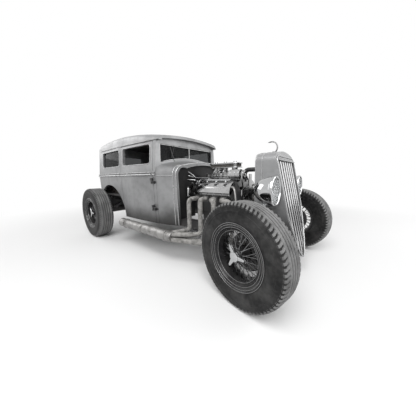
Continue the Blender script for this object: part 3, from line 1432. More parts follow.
@dataclass
class CowlForm:
    """The cowl's arched section, drawn between its front edge and the windscreen."""

    front_x: float
    rear_x: float
    rear_half: float
    front_half: float = 0.492
    front_crown: float = 1.084
    rear_crown: float = 1.128
    shoulder_z: float = 0.935
    shoulder_in: float = 0.130
    drop: float = 0.044
    bottom_z: float = 0.370
    belt_z: float = 0.960
    tuck: float = math.tan(math.radians(2.0))

    def sizes(self, x: float) -> tuple[float, float]:
        """Half width and crown height at a place along the cowl.

        Args:
            x: place along the car.

        Returns:
            The half width and the crown's height.
        """
        share = (self.front_x - x) / (self.front_x - self.rear_x)
        return (self.front_half + (self.rear_half - self.front_half) * share,
                self.front_crown + (self.rear_crown - self.front_crown) * share)

    def section(self, x: float, lift: float) -> list[Point]:
        """Points over the cowl from the right sill to the left one, lifted off its skin.

        Args:
            x: place along the car.
            lift: distance off the skin.

        Returns:
            The points in order.
        """
        half, crown_z = (size + lift for size in self.sizes(x))
        low = half - (self.belt_z - self.bottom_z) * self.tuck
        top, top_z = half - self.shoulder_in, crown_z - self.drop
        run = Vector((half - low, self.shoulder_z - self.bottom_z)).normalized()
        inward = Vector((-run.y, run.x))
        reach = Vector((top - half, top_z - self.shoulder_z))
        radius = reach.length_squared / (2 * inward.dot(reach))
        middle = Vector((half, self.shoulder_z)) + inward * radius
        start = math.atan2(self.shoulder_z - middle.y, half - middle.x)
        end = math.atan2(top_z - middle.y, top - middle.x)
        rise = self.shoulder_z - self.bottom_z
        edge = [(low + (half - low) * k / 6, self.bottom_z + rise * k / 6) for k in range(6)]
        edge += arc(middle.x, middle.y, radius, start, end, 12)
        edge += [(top * (1 - k / 8), crown_z - self.drop * (1 - k / 8) ** 2) for k in range(1, 9)]
        return [(x, -y, z) for y, z in MeshShop.mirrored(edge, True)]


@dataclass
class BodyTrim:
    """Hinge straps, beads, window rims, gutters, the windscreen's frame and wiper."""

    side: BodySide
    cowl: CowlForm
    door_front: float
    door_rear: float
    band_proud: float = 0.007
    skin_lift: float = 0.0005
    rear_corner: float = 0.190
    window_zs: Flat = (1.082, 1.300)
    window_corner: float = 0.034
    window_ease: float = 0.006
    pillar: float = 0.052
    quarter_l: float = 0.575
    rear_window_half: float = 0.270
    rim_r: float = 0.0050
    hinge_zs: Flat = (0.565, 0.880)
    hinge_x: float = 0.05374
    hinge_y: float = 0.58692
    hinge_h: float = 0.034
    strap_l: float = 0.034
    strap_bevel: float = 0.0012
    gutter_z: float = 1.344
    gutter_r: float = 0.0062
    screen_x: float = 0.090
    screen_half: float = 0.478
    screen_sill: float = 1.098
    screen_rise: float = 0.062
    screen_head: float = 1.300

    BELT_BEADS = ((-0.0085, 0.0095, 0.0), (0.0180, 0.0045, 0.0))
    BELT_LINE = ((0.0075, 0.0055, -0.0020),)
    BOLT_HEAD = ((0.0, 0.0045), (0.003, 0.0043), (0.0055, 0.003), (0.0065, 0.0), (0.0, 0.0))

    def build(self, bench: Workbench) -> None:
        """Make the straps on posts and doors, the beads and rims, and the trim round the screen.

        Args:
            bench: makes and dresses the pieces.
        """
        for label, sign in NAMED_SIDES:
            door, post = [], []
            for z in self.hinge_zs:
                door += self._leaf(z + self.hinge_h / 2, sign, -1)
                post += self._leaf(z - self.hinge_h / 2 - 0.0005, sign, 1)
            bench.piece(f"door_straps_{label}", door, HINGE_BLACK, f"door_{label}")
            bench.piece(f"post_straps_{label}", post, HINGE_BLACK)
        self._belt(bench)
        self._window_rims(bench)
        bench.piece("cowl_beads", self._cowl_beads(), BEAD_STEEL)
        bench.piece("roof_gutters", self._gutters(), BARE_STEEL)
        self._screen(bench)

    def _band(self, x: float) -> float:
        """Half width of the belt band's face."""
        return self.side.half(x, self.side.belt_z) + self.band_proud

    def _belt(self, bench: Workbench) -> None:
        """Two beads and a dark line along the belt: on each door, and round the rest of the body.

        Args:
            bench: makes and dresses the pieces.
        """
        for kind, chosen, finish, slot in (("bead", self.BELT_BEADS, BEAD_STEEL, "bare_steel"),
                                           ("line", self.BELT_LINE, HINGE_BLACK, "frame_paint")):
            for label, sign in NAMED_SIDES:
                run = self._side_line(self.door_front - 0.014, self.door_rear + 0.004, sign)
                bench.piece(f"door_{kind}_{label}", self._laid(run, chosen), finish, f"door_{label}")
            posts = [self._side_line(self.side.screen_x - 0.002, self.door_front + 0.012, sign) for sign in SIDES]
            rest = [mesh for run in (*posts, self._tail_line()) for mesh in self._laid(run, chosen)]
            bench.piece(f"belt_{kind}s", rest, finish)

    @staticmethod
    def _laid(run: list[tuple[Vector, Vector]], lines: tuple[Point, ...]) -> list[Part]:
        """Tubes laid along a run of places on the belt band, each with its lift, radius and stand-off."""
        return [MeshShop.tube([spot + away * out + Vector((0.0, 0.0, lift)) for spot, away in run], radius)
                for lift, radius, out in lines]

    def _side_line(self, start: float, end: float, sign: int) -> list[tuple[Vector, Vector]]:
        """Places on the belt band along one side, with the way out from each.

        Args:
            start: where it starts along the car.
            end: where it ends.
            sign: the car's side, -1 for the right.

        Returns:
            Each place and its way out.
        """
        steps = max(2, round(abs(end - start) / 0.05))
        return [(Vector((x, sign * self._band(x), self.side.belt_z)), Vector((0.0, sign, 0.0)))
                for x in spaced(start, end, steps)]

    def _tail_line(self) -> list[tuple[Vector, Vector]]:
        """Places on the belt band from behind one door, round the back, to behind the other.

        Returns:
            Each place and its way out.
        """
        corner = self.rear_corner + self.band_proud
        x = self.side.rear_x - self.band_proud + corner
        lean = math.atan(self.side.slope(x, self.side.belt_z, 0.01))
        middle = Vector((x, self._band(x) - corner / math.cos(lean), self.side.belt_z))
        half = self._side_line(self.door_rear - 0.009, x - corner * math.sin(lean), 1)
        for angle in spaced(math.pi / 2 + lean, math.pi, 12)[1:]:
            away = Vector((math.cos(angle), math.sin(angle), 0.0))
            half.append((middle + away * corner, away))
        return half + [(Vector((p.x, -p.y, p.z)), Vector((a.x, -a.y, a.z))) for p, a in reversed(half)]

    def _window_rims(self, bench: Workbench) -> None:
        """Rolled rims round the door, quarter and rear windows.

        Args:
            bench: makes and dresses the pieces.
        """
        front, rear = self.door_front - self.pillar, self.door_rear - self.pillar
        door = {sign: self._side_rim(self.door_rear + self.pillar, front, sign) for sign in SIDES}
        for label, sign in NAMED_SIDES:
            bench.piece(f"window_rim_{label}", door[sign], BEAD_STEEL, f"door_{label}")
        half, side = self.rear_window_half, self.side
        back = [(side.rear_x + (z - side.belt_z) * side.tumble - self.skin_lift, y, z)
                for y, z in self._window(-half, half)]
        rims = [self._side_rim(rear - self.quarter_l, rear, sign) for sign in SIDES]
        bench.piece("body_window_rims", [*rims, MeshShop.tube(back, self.rim_r, 8)], BEAD_STEEL)

    def _window(self, start: float, end: float) -> list[Flat]:
        """Outline just outside a window that runs from start to end."""
        ease, (low, high) = self.window_ease, self.window_zs
        return MeshShop.round_box((start - ease, low - ease), (end + ease, high + ease), self.window_corner + ease)

    def _side_rim(self, start: float, end: float, sign: int) -> Mesh:
        """Rim of a side window, bent to the skin.

        Args:
            start: the window's rear edge.
            end: its front edge.
            sign: the car's side, -1 for the right.

        Returns:
            The mesh.
        """
        path = [(x, sign * (self.side.half(x, z) + self.skin_lift), z)
                for x, z in self._divided(self._window(start, end))]
        return MeshShop.tube(path, self.rim_r, 8)

    @staticmethod
    def _divided(outline: list[Flat], step: float = 0.05) -> list[Flat]:
        """The same outline with points added along its straight runs.

        Args:
            outline: the outline's points.
            step: distance to aim for.

        Returns:
            The new points.
        """
        line = [outline[0]]
        for (ax, az), (bx, bz) in zip(outline, outline[1:]):
            count = max(1, round(math.hypot(bx - ax, bz - az) / step))
            line += list(zip(spaced(ax, bx, count), spaced(az, bz, count)))[1:]
        return line

    def _cowl_beads(self) -> list[Part]:
        """Rolled edge and a second bead round the cowl's front, and a bead along each shoulder.

        Returns:
            Forms, bare or with their places.
        """
        cowl, front = self.cowl, self.cowl.front_x
        beads = [MeshShop.tube(cowl.section(front - 0.003, self.band_proud - 0.001), 0.0062),
                 MeshShop.tube(cowl.section(front - 0.048, self.skin_lift), 0.0055)]
        for sign in SIDES:
            beads.append(MeshShop.tube([(x, sign * (cowl.sizes(x)[0] + self.skin_lift), cowl.shoulder_z)
                                        for x in spaced(front - 0.052, cowl.rear_x + 0.004, 8)], 0.0058))
        return beads

    def _leaf(self, z: float, sign: int, way: int) -> list[Part]:
        """One hinge leaf: a sleeve round the barrel, its arm, a strap on the skin and a bolt.

        Args:
            z: middle height of the leaf.
            sign: the car's side, -1 for the right.
            way: 1 where the strap runs forward onto the post, -1 where it runs back onto the door.

        Returns:
            Forms and their places.
        """
        tall = self.hinge_h - 0.0015
        high = tall / 2
        sleeve = [(0.0112, -high), (0.0122, -high + 0.001), (0.0122, high - 0.001), (0.0112, high)]
        edge_x = self.hinge_x + way * 0.0025
        mid_x = edge_x + way * (0.016 + self.strap_l / 2)
        slope_deg = math.degrees(math.atan(self.side.slope(mid_x, z, 0.03)))
        lie = (shift(mid_x, sign * (self.side.half(mid_x, z) + 0.0025), z) @ turned(sign * slope_deg, "Z")
               @ turned(90, "X"))
        tip = way * self.strap_l / 2
        outline = [(-tip, -high), (tip * 0.75, -high * 0.8), (tip, -high * 0.35), (tip, high * 0.35),
                   (tip * 0.75, high * 0.8), (-tip, high)]
        strap = MeshShop.bar(outline if way > 0 else outline[::-1], -0.004, 0.004, self.strap_bevel)
        head = lie @ shift(way * 0.002, 0.0, -sign * 0.004) @ turned(0 if sign < 0 else 180, "X")
        return [
            (MeshShop.lathe(sleeve, 28), shift(self.hinge_x, sign * self.hinge_y, z)),
            (MeshShop.plate(0.0268, 0.030, tall, 0.0015),
             shift(edge_x + way * 0.0132, sign * (self.hinge_y - 0.0148), z)),
            (strap, lie),
            (MeshShop.lathe(self.BOLT_HEAD, 16, False), head),
        ]

    def _gutters(self) -> list[Part]:
        """Rain gutters along the roof's lower edge.

        Returns:
            Forms, bare or with their places.
        """
        xs = spaced(self.side.screen_x + 0.045, self.side.rear_x + 0.24, 36)
        return [MeshShop.tube([(x, sign * (self.side.half(x, self.gutter_z) + 0.002), self.gutter_z) for x in xs],
                              self.gutter_r) for sign in SIDES]

    def _screen(self, bench: Workbench) -> None:
        """Bright frame round the windscreen with a centre bar, and a wiper on the right.

        Args:
            bench: makes and dresses the pieces.
        """
        x, half, head = self.screen_x, self.screen_half, self.screen_head
        low, rise = self.screen_sill, self.screen_rise
        sill = [(x, half * (1 - 2 * k / 12), low + rise * (1 - (1 - 2 * k / 12) ** 2)) for k in range(13)]
        edge = [(x, -half, head), (x, half, head), *sill]
        bench.piece("screen_trim", [
            MeshShop.tube([*edge, edge[0]], 0.0055, 8),
            MeshShop.tube([(x, 0.0, low + rise - 0.002), (x, 0.0, head + 0.002)], 0.006),
        ], POLISHED_ALLOY)
        out = x + 0.016
        arm = MeshShop.tube([(out - 0.022, -0.270, head + 0.004), (out, -0.270, head - 0.004),
                             (out + 0.002, -0.300, 1.215), (out, -0.318, 1.160)], 0.0028, 8)
        blade = (MeshShop.plate(0.005, 0.008, 0.190, 0.001), shift(out - 0.003, -0.305, 1.195) @ turned(20, "X"))
        bench.piece("wiper", [arm, blade], HINGE_BLACK)


@dataclass
class EngineDress:
    """Bolts, plug caps, pleats, linkages, clamps, pipes and pulley faces on the open engine."""

    front_x: float
    crank_z: float = 0.560
    rear_back: float = 0.870
    length: float = 0.490
    port_pitch: float = 0.118
    cover_base: float = 0.318
    cover_top: float = 0.384
    flange_half: float = 0.090
    cover_bolt_step: float = 0.094
    cover_bolts: int = 6
    manifold_z: float = 0.880
    carb_pitch: float = 0.130
    carb_top_z: float = 0.978
    carbs: int = 3
    cleaner_z: float = 1.012
    cleaner_half: float = 0.135
    cleaner_r: float = 0.063
    cleaner_edge_r: float = 0.0755
    pleats: int = 170
    pleat_size: Point = (0.0062, 0.0026, 0.033)
    wall_back: float = 0.046
    cap_z: float = 0.900
    stem_z: float = 0.800
    pulley_back: float = 0.311
    timing_back: float = 0.350
    generator: Point = (0.350, -0.120, 0.936)
    hose_end: Point = (0.150, 0.062, 0.988)
    hose_foot: Point = (0.404, 0.062, 0.900)
    bolt_bevel: float = 0.0008

    STEM = ((0.0, 0.100), (0.020, 0.100), (0.022, 0.094), (0.022, 0.060), (0.034, 0.054), (0.034, 0.0), (0.0, 0.0))
    CAP = ((0.0, 0.052), (0.012, 0.051), (0.020, 0.046), (0.030, 0.040), (0.035, 0.028), (0.036, 0.0), (0.0, 0.0))
    TOWER = ((0.0, 0.018), (0.0045, 0.017), (0.006, 0.012), (0.0065, 0.0), (0.0, 0.0))
    CAN = ((0.0, 0.062), (0.006, 0.061), (0.008, 0.048), (0.022, 0.044), (0.0245, 0.038), (0.0245, -0.044),
           (0.021, -0.050), (0.0, -0.050))
    CAN_STRAP = ((0.0242, -0.011), (0.0262, -0.011), (0.0262, 0.011), (0.0242, 0.011))
    CARB_RING = ((0.0478, -0.005), (0.0500, -0.004), (0.0500, 0.004), (0.0478, 0.005))
    PLUG_CAP = ((0.0, 0.010), (0.007, 0.010), (0.0105, 0.007), (0.0125, 0.002), (0.0125, -0.012), (0.0, -0.012))
    PLUG_RING = ((0.0192, -0.006), (0.023, -0.006), (0.0245, -0.002), (0.023, 0.002), (0.0192, 0.003))
    LID_NUT = ((0.0, 0.017), (0.004, 0.0165), (0.007, 0.012), (0.008, 0.003), (0.012, 0.001), (0.012, -0.001),
               (0.0, -0.001))
    LID_WING = ((-0.022, 0.012), (-0.018, 0.006), (0.018, 0.006), (0.022, 0.012), (0.020, 0.019), (0.013, 0.018),
                (0.006, 0.011), (-0.006, 0.011), (-0.013, 0.018), (-0.020, 0.019))
    LEVER = ((-0.007, -0.005), (0.007, -0.005), (0.005, 0.040), (-0.005, 0.040))
    BAND = ((0.0522, -0.005), (0.0545, -0.005), (0.0545, 0.005), (0.0522, 0.005))
    CLIP = ((0.0243, -0.006), (0.0262, -0.006), (0.0262, 0.006), (0.0243, 0.006))
    FUEL_PIPE = ((0.012, -0.052, 0.925), (0.014, -0.086, 0.932), (0.024, -0.094, 0.960), (0.038, -0.080, 0.984),
                 (0.046, -0.054, 0.972), (0.046, -0.040, 0.950))
    BYPASS = ((0.0, -0.060, 0.868), (0.006, -0.059, 0.930), (0.020, -0.059, 0.970), (0.038, -0.059, 0.980),
              (0.056, -0.059, 0.970), (0.070, -0.059, 0.930), (0.076, -0.060, 0.868))

    @property
    def rear_x(self) -> float:
        """Rear face of the block."""
        return self.front_x - self.rear_back

    @property
    def mid_x(self) -> float:
        """Middle of the block."""
        return self.rear_x + self.length / 2

    @property
    def carb_xs(self) -> list[float]:
        """Places of the carburettors along the car."""
        return [self.mid_x + i * self.carb_pitch for i in (-1, 0, 1)]

    def build(self, bench: Workbench) -> None:
        """Make all the engine's small pieces.

        Args:
            bench: makes and dresses the pieces.
        """
        self._cover_bolts(bench)
        self._plug_caps(bench)
        self._pleats(bench)
        bench.piece("throttle_links", self._links(), CHROME)
        bench.piece("bands_and_clips", self._clamps(), CHROME)
        self._pulley_faces(bench)
        self._pipes(bench)
        self._bulkhead(bench)
        self._carb_rings(bench)

    def _bank(self, along: float, across: float, sign: int) -> Matrix:
        """Place on a bank, looking outwards.

        Args:
            along: distance out along the bank.
            across: distance across it.
            sign: the car's side, -1 for the right.

        Returns:
            The place as a matrix.
        """
        c = math.sqrt(0.5)
        out, fore = Vector((0.0, sign * c, c)), Vector((1.0, 0.0, 0.0))
        frame_turn = Matrix((fore, out.cross(fore), out)).transposed().to_4x4()
        return shift(0.0, sign * (along + across) * c, self.crank_z + (along - across) * c) @ frame_turn

    def _spot(self, x: float, rise: float, across: float, sign: int) -> Point:
        """Point over a valve cover: a rise above its top, and a distance across it."""
        place = self._bank(self.cover_top + rise, across, sign).translation
        return (x, place.y, place.z)

    def _cover_bolts(self, bench: Workbench) -> None:
        """Rows of bolts along the flanges of both covers.

        Args:
            bench: makes and dresses the pieces.
        """
        rows = []
        for sign in SIDES:
            for across in (-self.flange_half, self.flange_half):
                bolt = MeshShop.bar(circle(0.0056, 6), -0.001, 0.0065, self.bolt_bevel)
                bolt.transform(shift(self.rear_x + 0.010, 0.0, 0.0)
                               @ self._bank(self.cover_base + 0.010, across, sign))
                rows.append(bench.row(bolt, CHROME, self.cover_bolts, (self.cover_bolt_step, 0.0, 0.0)))
        bench.piece("cover_bolts", rows, CHROME)

    def _plug_caps(self, bench: Workbench) -> None:
        """Black caps that stand in the plug wells, each with a bright ring at the cover.

        Args:
            bench: makes and dresses the pieces.
        """
        start = shift(self.mid_x - 1.5 * self.port_pitch, 0.0, 0.0)
        for name, profile, closed, finish, slot in (
            ("plug_caps", self.PLUG_CAP, False, STEERING_BLACK, "steering_black"),
            ("plug_rings", self.PLUG_RING, True, CHROME, "chrome"),
        ):
            rows = []
            for sign in SIDES:
                form = MeshShop.lathe(profile, 28, closed)
                form.transform(start @ self._bank(self.cover_top, 0.0, sign))
                rows.append(bench.row(form, finish, 4, (self.port_pitch, 0.0, 0.0)))
            bench.piece(name, rows, finish)

    def _pleats(self, bench: Workbench) -> None:
        """Folds of the air cleaner's element, and three wing nuts on its lid.

        Args:
            bench: makes and dresses the pieces.
        """
        end = arc(-self.cleaner_half, 0.0, self.cleaner_r, math.pi * 0.5, math.pi * 1.5, 24)
        outline = end + [(-x, -y) for x, y in end]
        route = bpy.data.meshes.new("element")
        route.from_pydata([(self.mid_x + x, y, self.cleaner_z + 0.026) for x, y in outline],
                          [(k, (k + 1) % len(outline)) for k in range(len(outline))], [])
        folds = bench.pattern(bench.trees.follow, route, PAPER, Count=self.pleats, Size=self.pleat_size)
        bench.piece("cleaner_pleats", folds, PAPER)
        wing = (MeshShop.bar(self.LID_WING, -0.0018, 0.0018, 0.0006), turned(90, "X"))
        form = MeshShop.joined([MeshShop.lathe(self.LID_NUT, 20, False), wing])
        form.transform(shift(self.carb_xs[0], 0.0, self.cleaner_z + 0.058))
        nuts = bench.row(form, CHROME, self.carbs, (self.carb_pitch, 0.0, 0.0))
        bench.piece("lid_nuts", nuts, CHROME)

    def _links(self) -> list[Part]:
        """Throttle shaft with its levers, and short fuel pipes into each bowl, on both sides.

        Returns:
            Forms, bare or with their places.
        """
        parts: list[Part] = []
        for sign in SIDES:
            y, z = sign * 0.060, self.manifold_z + 0.022
            parts.append(MeshShop.tube([(self.mid_x - 0.190, y, z), (self.mid_x + 0.190, y, z)], 0.0038))
            for x in self.carb_xs:
                stand = shift(x - 0.030, y, z) @ turned(90, "X") @ turned(-18, "Z")
                parts += [
                    (MeshShop.bar(self.LEVER, -0.002, 0.002, self.bolt_bevel), stand),
                    MeshShop.tube([(x - 0.030, y, z), (x - 0.030, sign * 0.040, z)], 0.003, 8),
                    MeshShop.tube([(x + 0.044, sign * 0.046, 0.930), (x + 0.044, sign * 0.058, 0.930)], 0.009, 6),
                ]
        return parts

    def _clamps(self) -> list[Part]:
        """Bands round the generator and clips on the top hose.

        Returns:
            Forms, bare or with their places.
        """
        back, y, z = self.generator
        body = facing(self.front_x - back, y, z)
        parts = [(MeshShop.lathe(self.BAND, 48), body @ shift(0.0, 0.0, along)) for along in (-0.018, -0.060, -0.112)]
        (end_back, end_y, end_z), (foot_back, foot_y, foot_z) = self.hose_end, self.hose_foot
        for place in (facing(self.front_x - end_back, end_y, end_z), shift(self.front_x - foot_back, foot_y, foot_z)):
            parts.append((MeshShop.lathe(self.CLIP, 36), place))
        return parts

    def _pulley_faces(self, bench: Workbench) -> None:
        """Dished faces on the pulleys, and bolts round the timing cover.

        Args:
            bench: makes and dresses the pieces.
        """
        _, gen_y, gen_z = self.generator
        parts = []
        for y, z, r in ((0.0, self.crank_z, 0.082), (gen_y, gen_z, 0.040)):
            face = [(0.0, 0.014), (0.009, 0.013), (0.011, 0.004), (r * 0.55, 0.001), (r * 0.62, 0.005),
                    (r - 0.006, 0.006), (r - 0.002, 0.003), (r - 0.002, -0.0005), (0.0, -0.0005)]
            parts.append((MeshShop.lathe(face, 56, False), facing(self.front_x - self.pulley_back, y, z)))
        bench.piece("pulley_faces", parts, POLISHED_ALLOY)
        bolt = MeshShop.bar(circle(0.0058, 6), -0.001, 0.007, self.bolt_bevel)
        bolt.transform(shift(0.102, 0.0, 0.0))
        place = facing(self.front_x - self.timing_back, 0.0, self.crank_z)
        bench.piece("timing_bolts", bench.ring(bolt, CHROME, 14), CHROME, place=place)

    def _pipes(self, bench: Workbench) -> None:
        """Lead tubes along the covers, rigid fuel pipes, a bypass loop and the breather pipes.

        Args:
            bench: makes and dresses the pieces.
        """
        front = self.rear_x + self.length
        bright, dull = [], []
        for sign in SIDES:
            ends = (self.rear_x - 0.020, front - 0.030)
            bright.append(([self._spot(x, 0.006, -0.062, sign) for x in ends], 0.0085))
            for i in range(4):
                x = self.mid_x + (i - 1.5) * self.port_pitch
                knots = [self._spot(x, *at, sign) for at in ((0.004, 0.0), (0.024, -0.030), (0.006, -0.062))]
                bright.append((MeshShop.smooth(knots), 0.0045))
            _, y, z = self._spot(front, -0.016, 0.014, sign)
            dull.append((MeshShop.smooth([
                (front - 0.004, y, z), (front + 0.022, y + sign * 0.004, z - 0.002),
                (front + 0.045, y + sign * 0.016, z - 0.026), (front + 0.064, sign * 0.300, z - 0.080),
                (front + 0.078, sign * 0.316, 0.660), (front + 0.083, sign * 0.334, 0.590),
                (front + 0.083, sign * 0.340, 0.535),
            ]), 0.0100))
        for x in self.carb_xs:
            bright.append((MeshShop.smooth([(x + along, y, z) for along, y, z in self.FUEL_PIPE]), 0.0042))
        loop = self.mid_x + 0.108
        bright.append((MeshShop.smooth([(loop + along, y, z) for along, y, z in self.BYPASS]), 0.0056))
        for name, paths, finish, slot in (("bright_pipes", bright, CHROME, "chrome"),
                                          ("breather_pipes", dull, PIPE_STEEL, "polished_alloy")):
            bench.piece(name, [MeshShop.tube(path, radius) for path, radius in paths], finish)

    def _bulkhead(self, bench: Workbench) -> None:
        """Distributor behind the engine, and coils, rods and junctions on the firewall.

        Args:
            bench: makes and dresses the pieces.
        """
        wall = self.front_x - COWL_BACK - self.wall_back
        foot, head = (shift(self.rear_x - 0.004, 0.0, z) for z in (self.stem_z, self.cap_z))
        post = MeshShop.lathe(self.TOWER, 14, False)
        post.transform(shift(0.024, 0.0, 0.040))
        towers = bench.ring(post, STEERING_BLACK, 8)
        bench.piece("distributor_cap", [(MeshShop.lathe(self.CAP, 40, False), head), (towers, head)], STEERING_BLACK)
        cans = [(MeshShop.lathe(self.STEM, 36, False), foot)]
        rods = []
        for sign in SIDES:
            spot = shift(wall + 0.0250, sign * 0.300, 0.742)
            cans += [(MeshShop.lathe(self.CAN, 36, False), spot), (MeshShop.lathe(self.CAN_STRAP, 36), spot)]
            cans.append((MeshShop.plate(0.026, 0.036, 0.070, 0.004), shift(wall + 0.012, sign * 0.226, 0.820)))
            for radius, path in (
                (0.0052, ((wall - 0.002, 0.264, 0.980), (wall + 0.030, 0.232, 0.948), (wall + 0.052, 0.200, 0.911))),
                (0.0045, ((wall - 0.002, 0.282, 0.936), (wall + 0.022, 0.268, 0.930), (wall + 0.050, 0.230, 0.914))),
                (0.0050, ((wall - 0.002, 0.268, 0.887), (wall + 0.060, 0.232, 0.882),
                          (self.rear_x + 0.020, 0.200, 0.850))),
                (0.0034, ((wall + 0.052, 0.202, 0.911), (wall + 0.080, 0.160, 0.905),
                          (self.mid_x - 0.190, 0.062, 0.902))),
            ):
                rods.append(MeshShop.tube(MeshShop.smooth([(x, sign * y, z) for x, y, z in path]), radius))
        bench.piece("bulkhead_cans", cans, POLISHED_ALLOY)
        bench.piece("bulkhead_rods", rods, CHROME)

    def _carb_rings(self, bench: Workbench) -> None:
        """Bright rings and screws on the carburettors, and the rolled edges of the air cleaner.

        Args:
            bench: makes and dresses the pieces.
        """
        screw = MeshShop.bar(circle(0.0048, 6), 0.0035, 0.0088, 0.0006)
        screw.transform(shift(0.041, 0.0, 0.0))
        nut = MeshShop.bar(circle(0.0062, 6), -0.001, 0.0075, self.bolt_bevel)
        nut.transform(shift(0.0575, 0.0, 0.0) @ Matrix.Rotation(0.3, 4, "Z"))
        top = shift(0.0, 0.0, self.carb_top_z)
        form = MeshShop.joined([
            (MeshShop.lathe(self.CARB_RING, 40), top), (bench.ring(screw, CHROME, 6), top),
            (bench.ring(nut, CHROME, 4), shift(0.0, 0.0, self.manifold_z + 0.016) @ turned(45, "Z")),
        ])
        form.transform(shift(self.carb_xs[0], 0.0, 0.0))
        rings = bench.row(form, CHROME, self.carbs, (self.carb_pitch, 0.0, 0.0))
        bench.piece("carb_rings", rings, CHROME)
        end = arc(self.cleaner_half, 0.0, self.cleaner_edge_r, -math.pi / 2, math.pi / 2, 16)
        outline = end + [(-x, -y) for x, y in end] + end[:1]
        edges = [MeshShop.tube([(self.mid_x + x, y, self.cleaner_z + rise) for x, y in outline], radius, 8)
                 for rise, radius in ((0.0045, 0.0045), (0.0500, 0.0050))]
        bench.piece("cleaner_edges", edges, CHROME)


@dataclass
class Seat:
    """One padded seat: a cushion and a raked back, with sewn channels."""

    front: float
    floor: float
    half: float
    y: float
    depth: float = 0.420
    height: float = 0.170
    dip: float = 0.040
    rake: float = 0.110
    back_t: float = 0.120
    top: float = 1.080
    channels: int = 5
    groove: float = 0.011
    rows: int = 26
    columns: int = 8

    def mesh(self) -> Mesh:
        """Both pads as crowned forms with grooves between the channels.

        Returns:
            The mesh.
        """
        cushion = self._pad(Vector((self.front, self.y, self.floor)), Vector((-1.0, 0.0, -self.dip / self.depth)),
                            self.depth + self.back_t * 0.3, Vector((0.0, 0.0, 1.0)), self.height)
        lean = self.top - self.floor - self.height + self.dip
        foot = Vector((self.front - self.depth - self.back_t, self.y, self.floor + 0.004))
        back = self._pad(foot, Vector((-self.rake / lean, 0.0, 1.0)), self.top - self.floor - 0.006,
                         Vector((1.0, 0.0, 0.0)), self.back_t)
        return MeshShop.joined([cushion, back])

    def _pad(self, start: Vector, run: Vector, length: float, rise: Vector, thick: float) -> Mesh:
        """A closed pad along a run, full in the middle and drawn in at its edges.

        Args:
            start: middle of its lower edge.
            run: direction along the pad, one unit of length long on its main axis.
            length: length along the run.
            rise: direction of its crowned face.
            thick: thickness.

        Returns:
            The padded form.
        """
        along, across = self.rows, self.columns * self.channels
        shape = bmesh.new()
        sheets = []
        for crowned in (True, False):
            sheet = []
            for i in range(along + 1):
                u = i / along
                edge_u = (1 - (2 * u - 1) ** 8) ** 0.5
                row = []
                for j in range(across + 1):
                    v = 2 * j / across - 1
                    puff = edge_u * (1 - v**10) ** 0.5
                    seam = abs(math.cos(math.pi * self.channels * (v + 1) / 2)) ** 0.35
                    crown = (thick * (0.86 + 0.07 * puff) * (0.30 + 0.70 * puff) - self.groove
                             + self.groove * seam * puff)
                    low = thick * 0.10 * (1 - puff)
                    side = v * (self.half - 0.004) * (0.985 + 0.015 * edge_u)
                    spot = start + run * (length * (0.006 + 0.988 * u)) + Vector((0.0, side, 0.0))
                    row.append(shape.verts.new(spot + rise * (crown if crowned else low)))
                sheet.append(row)
            sheets.append(sheet)
        top, base = sheets
        for i in range(along):
            for j in range(across):
                shape.faces.new((top[i][j], top[i + 1][j], top[i + 1][j + 1], top[i][j + 1]))
                shape.faces.new((base[i][j], base[i][j + 1], base[i + 1][j + 1], base[i + 1][j]))
        for i in range(along):
            shape.faces.new((top[i][0], base[i][0], base[i + 1][0], top[i + 1][0]))
            shape.faces.new((top[i + 1][across], base[i + 1][across], base[i][across], top[i][across]))
        for j in range(across):
            shape.faces.new((top[0][j + 1], base[0][j + 1], base[0][j], top[0][j]))
            shape.faces.new((top[along][j], base[along][j], base[along][j + 1], top[along][j + 1]))
        return MeshShop.close(shape, "pad", 75.0)


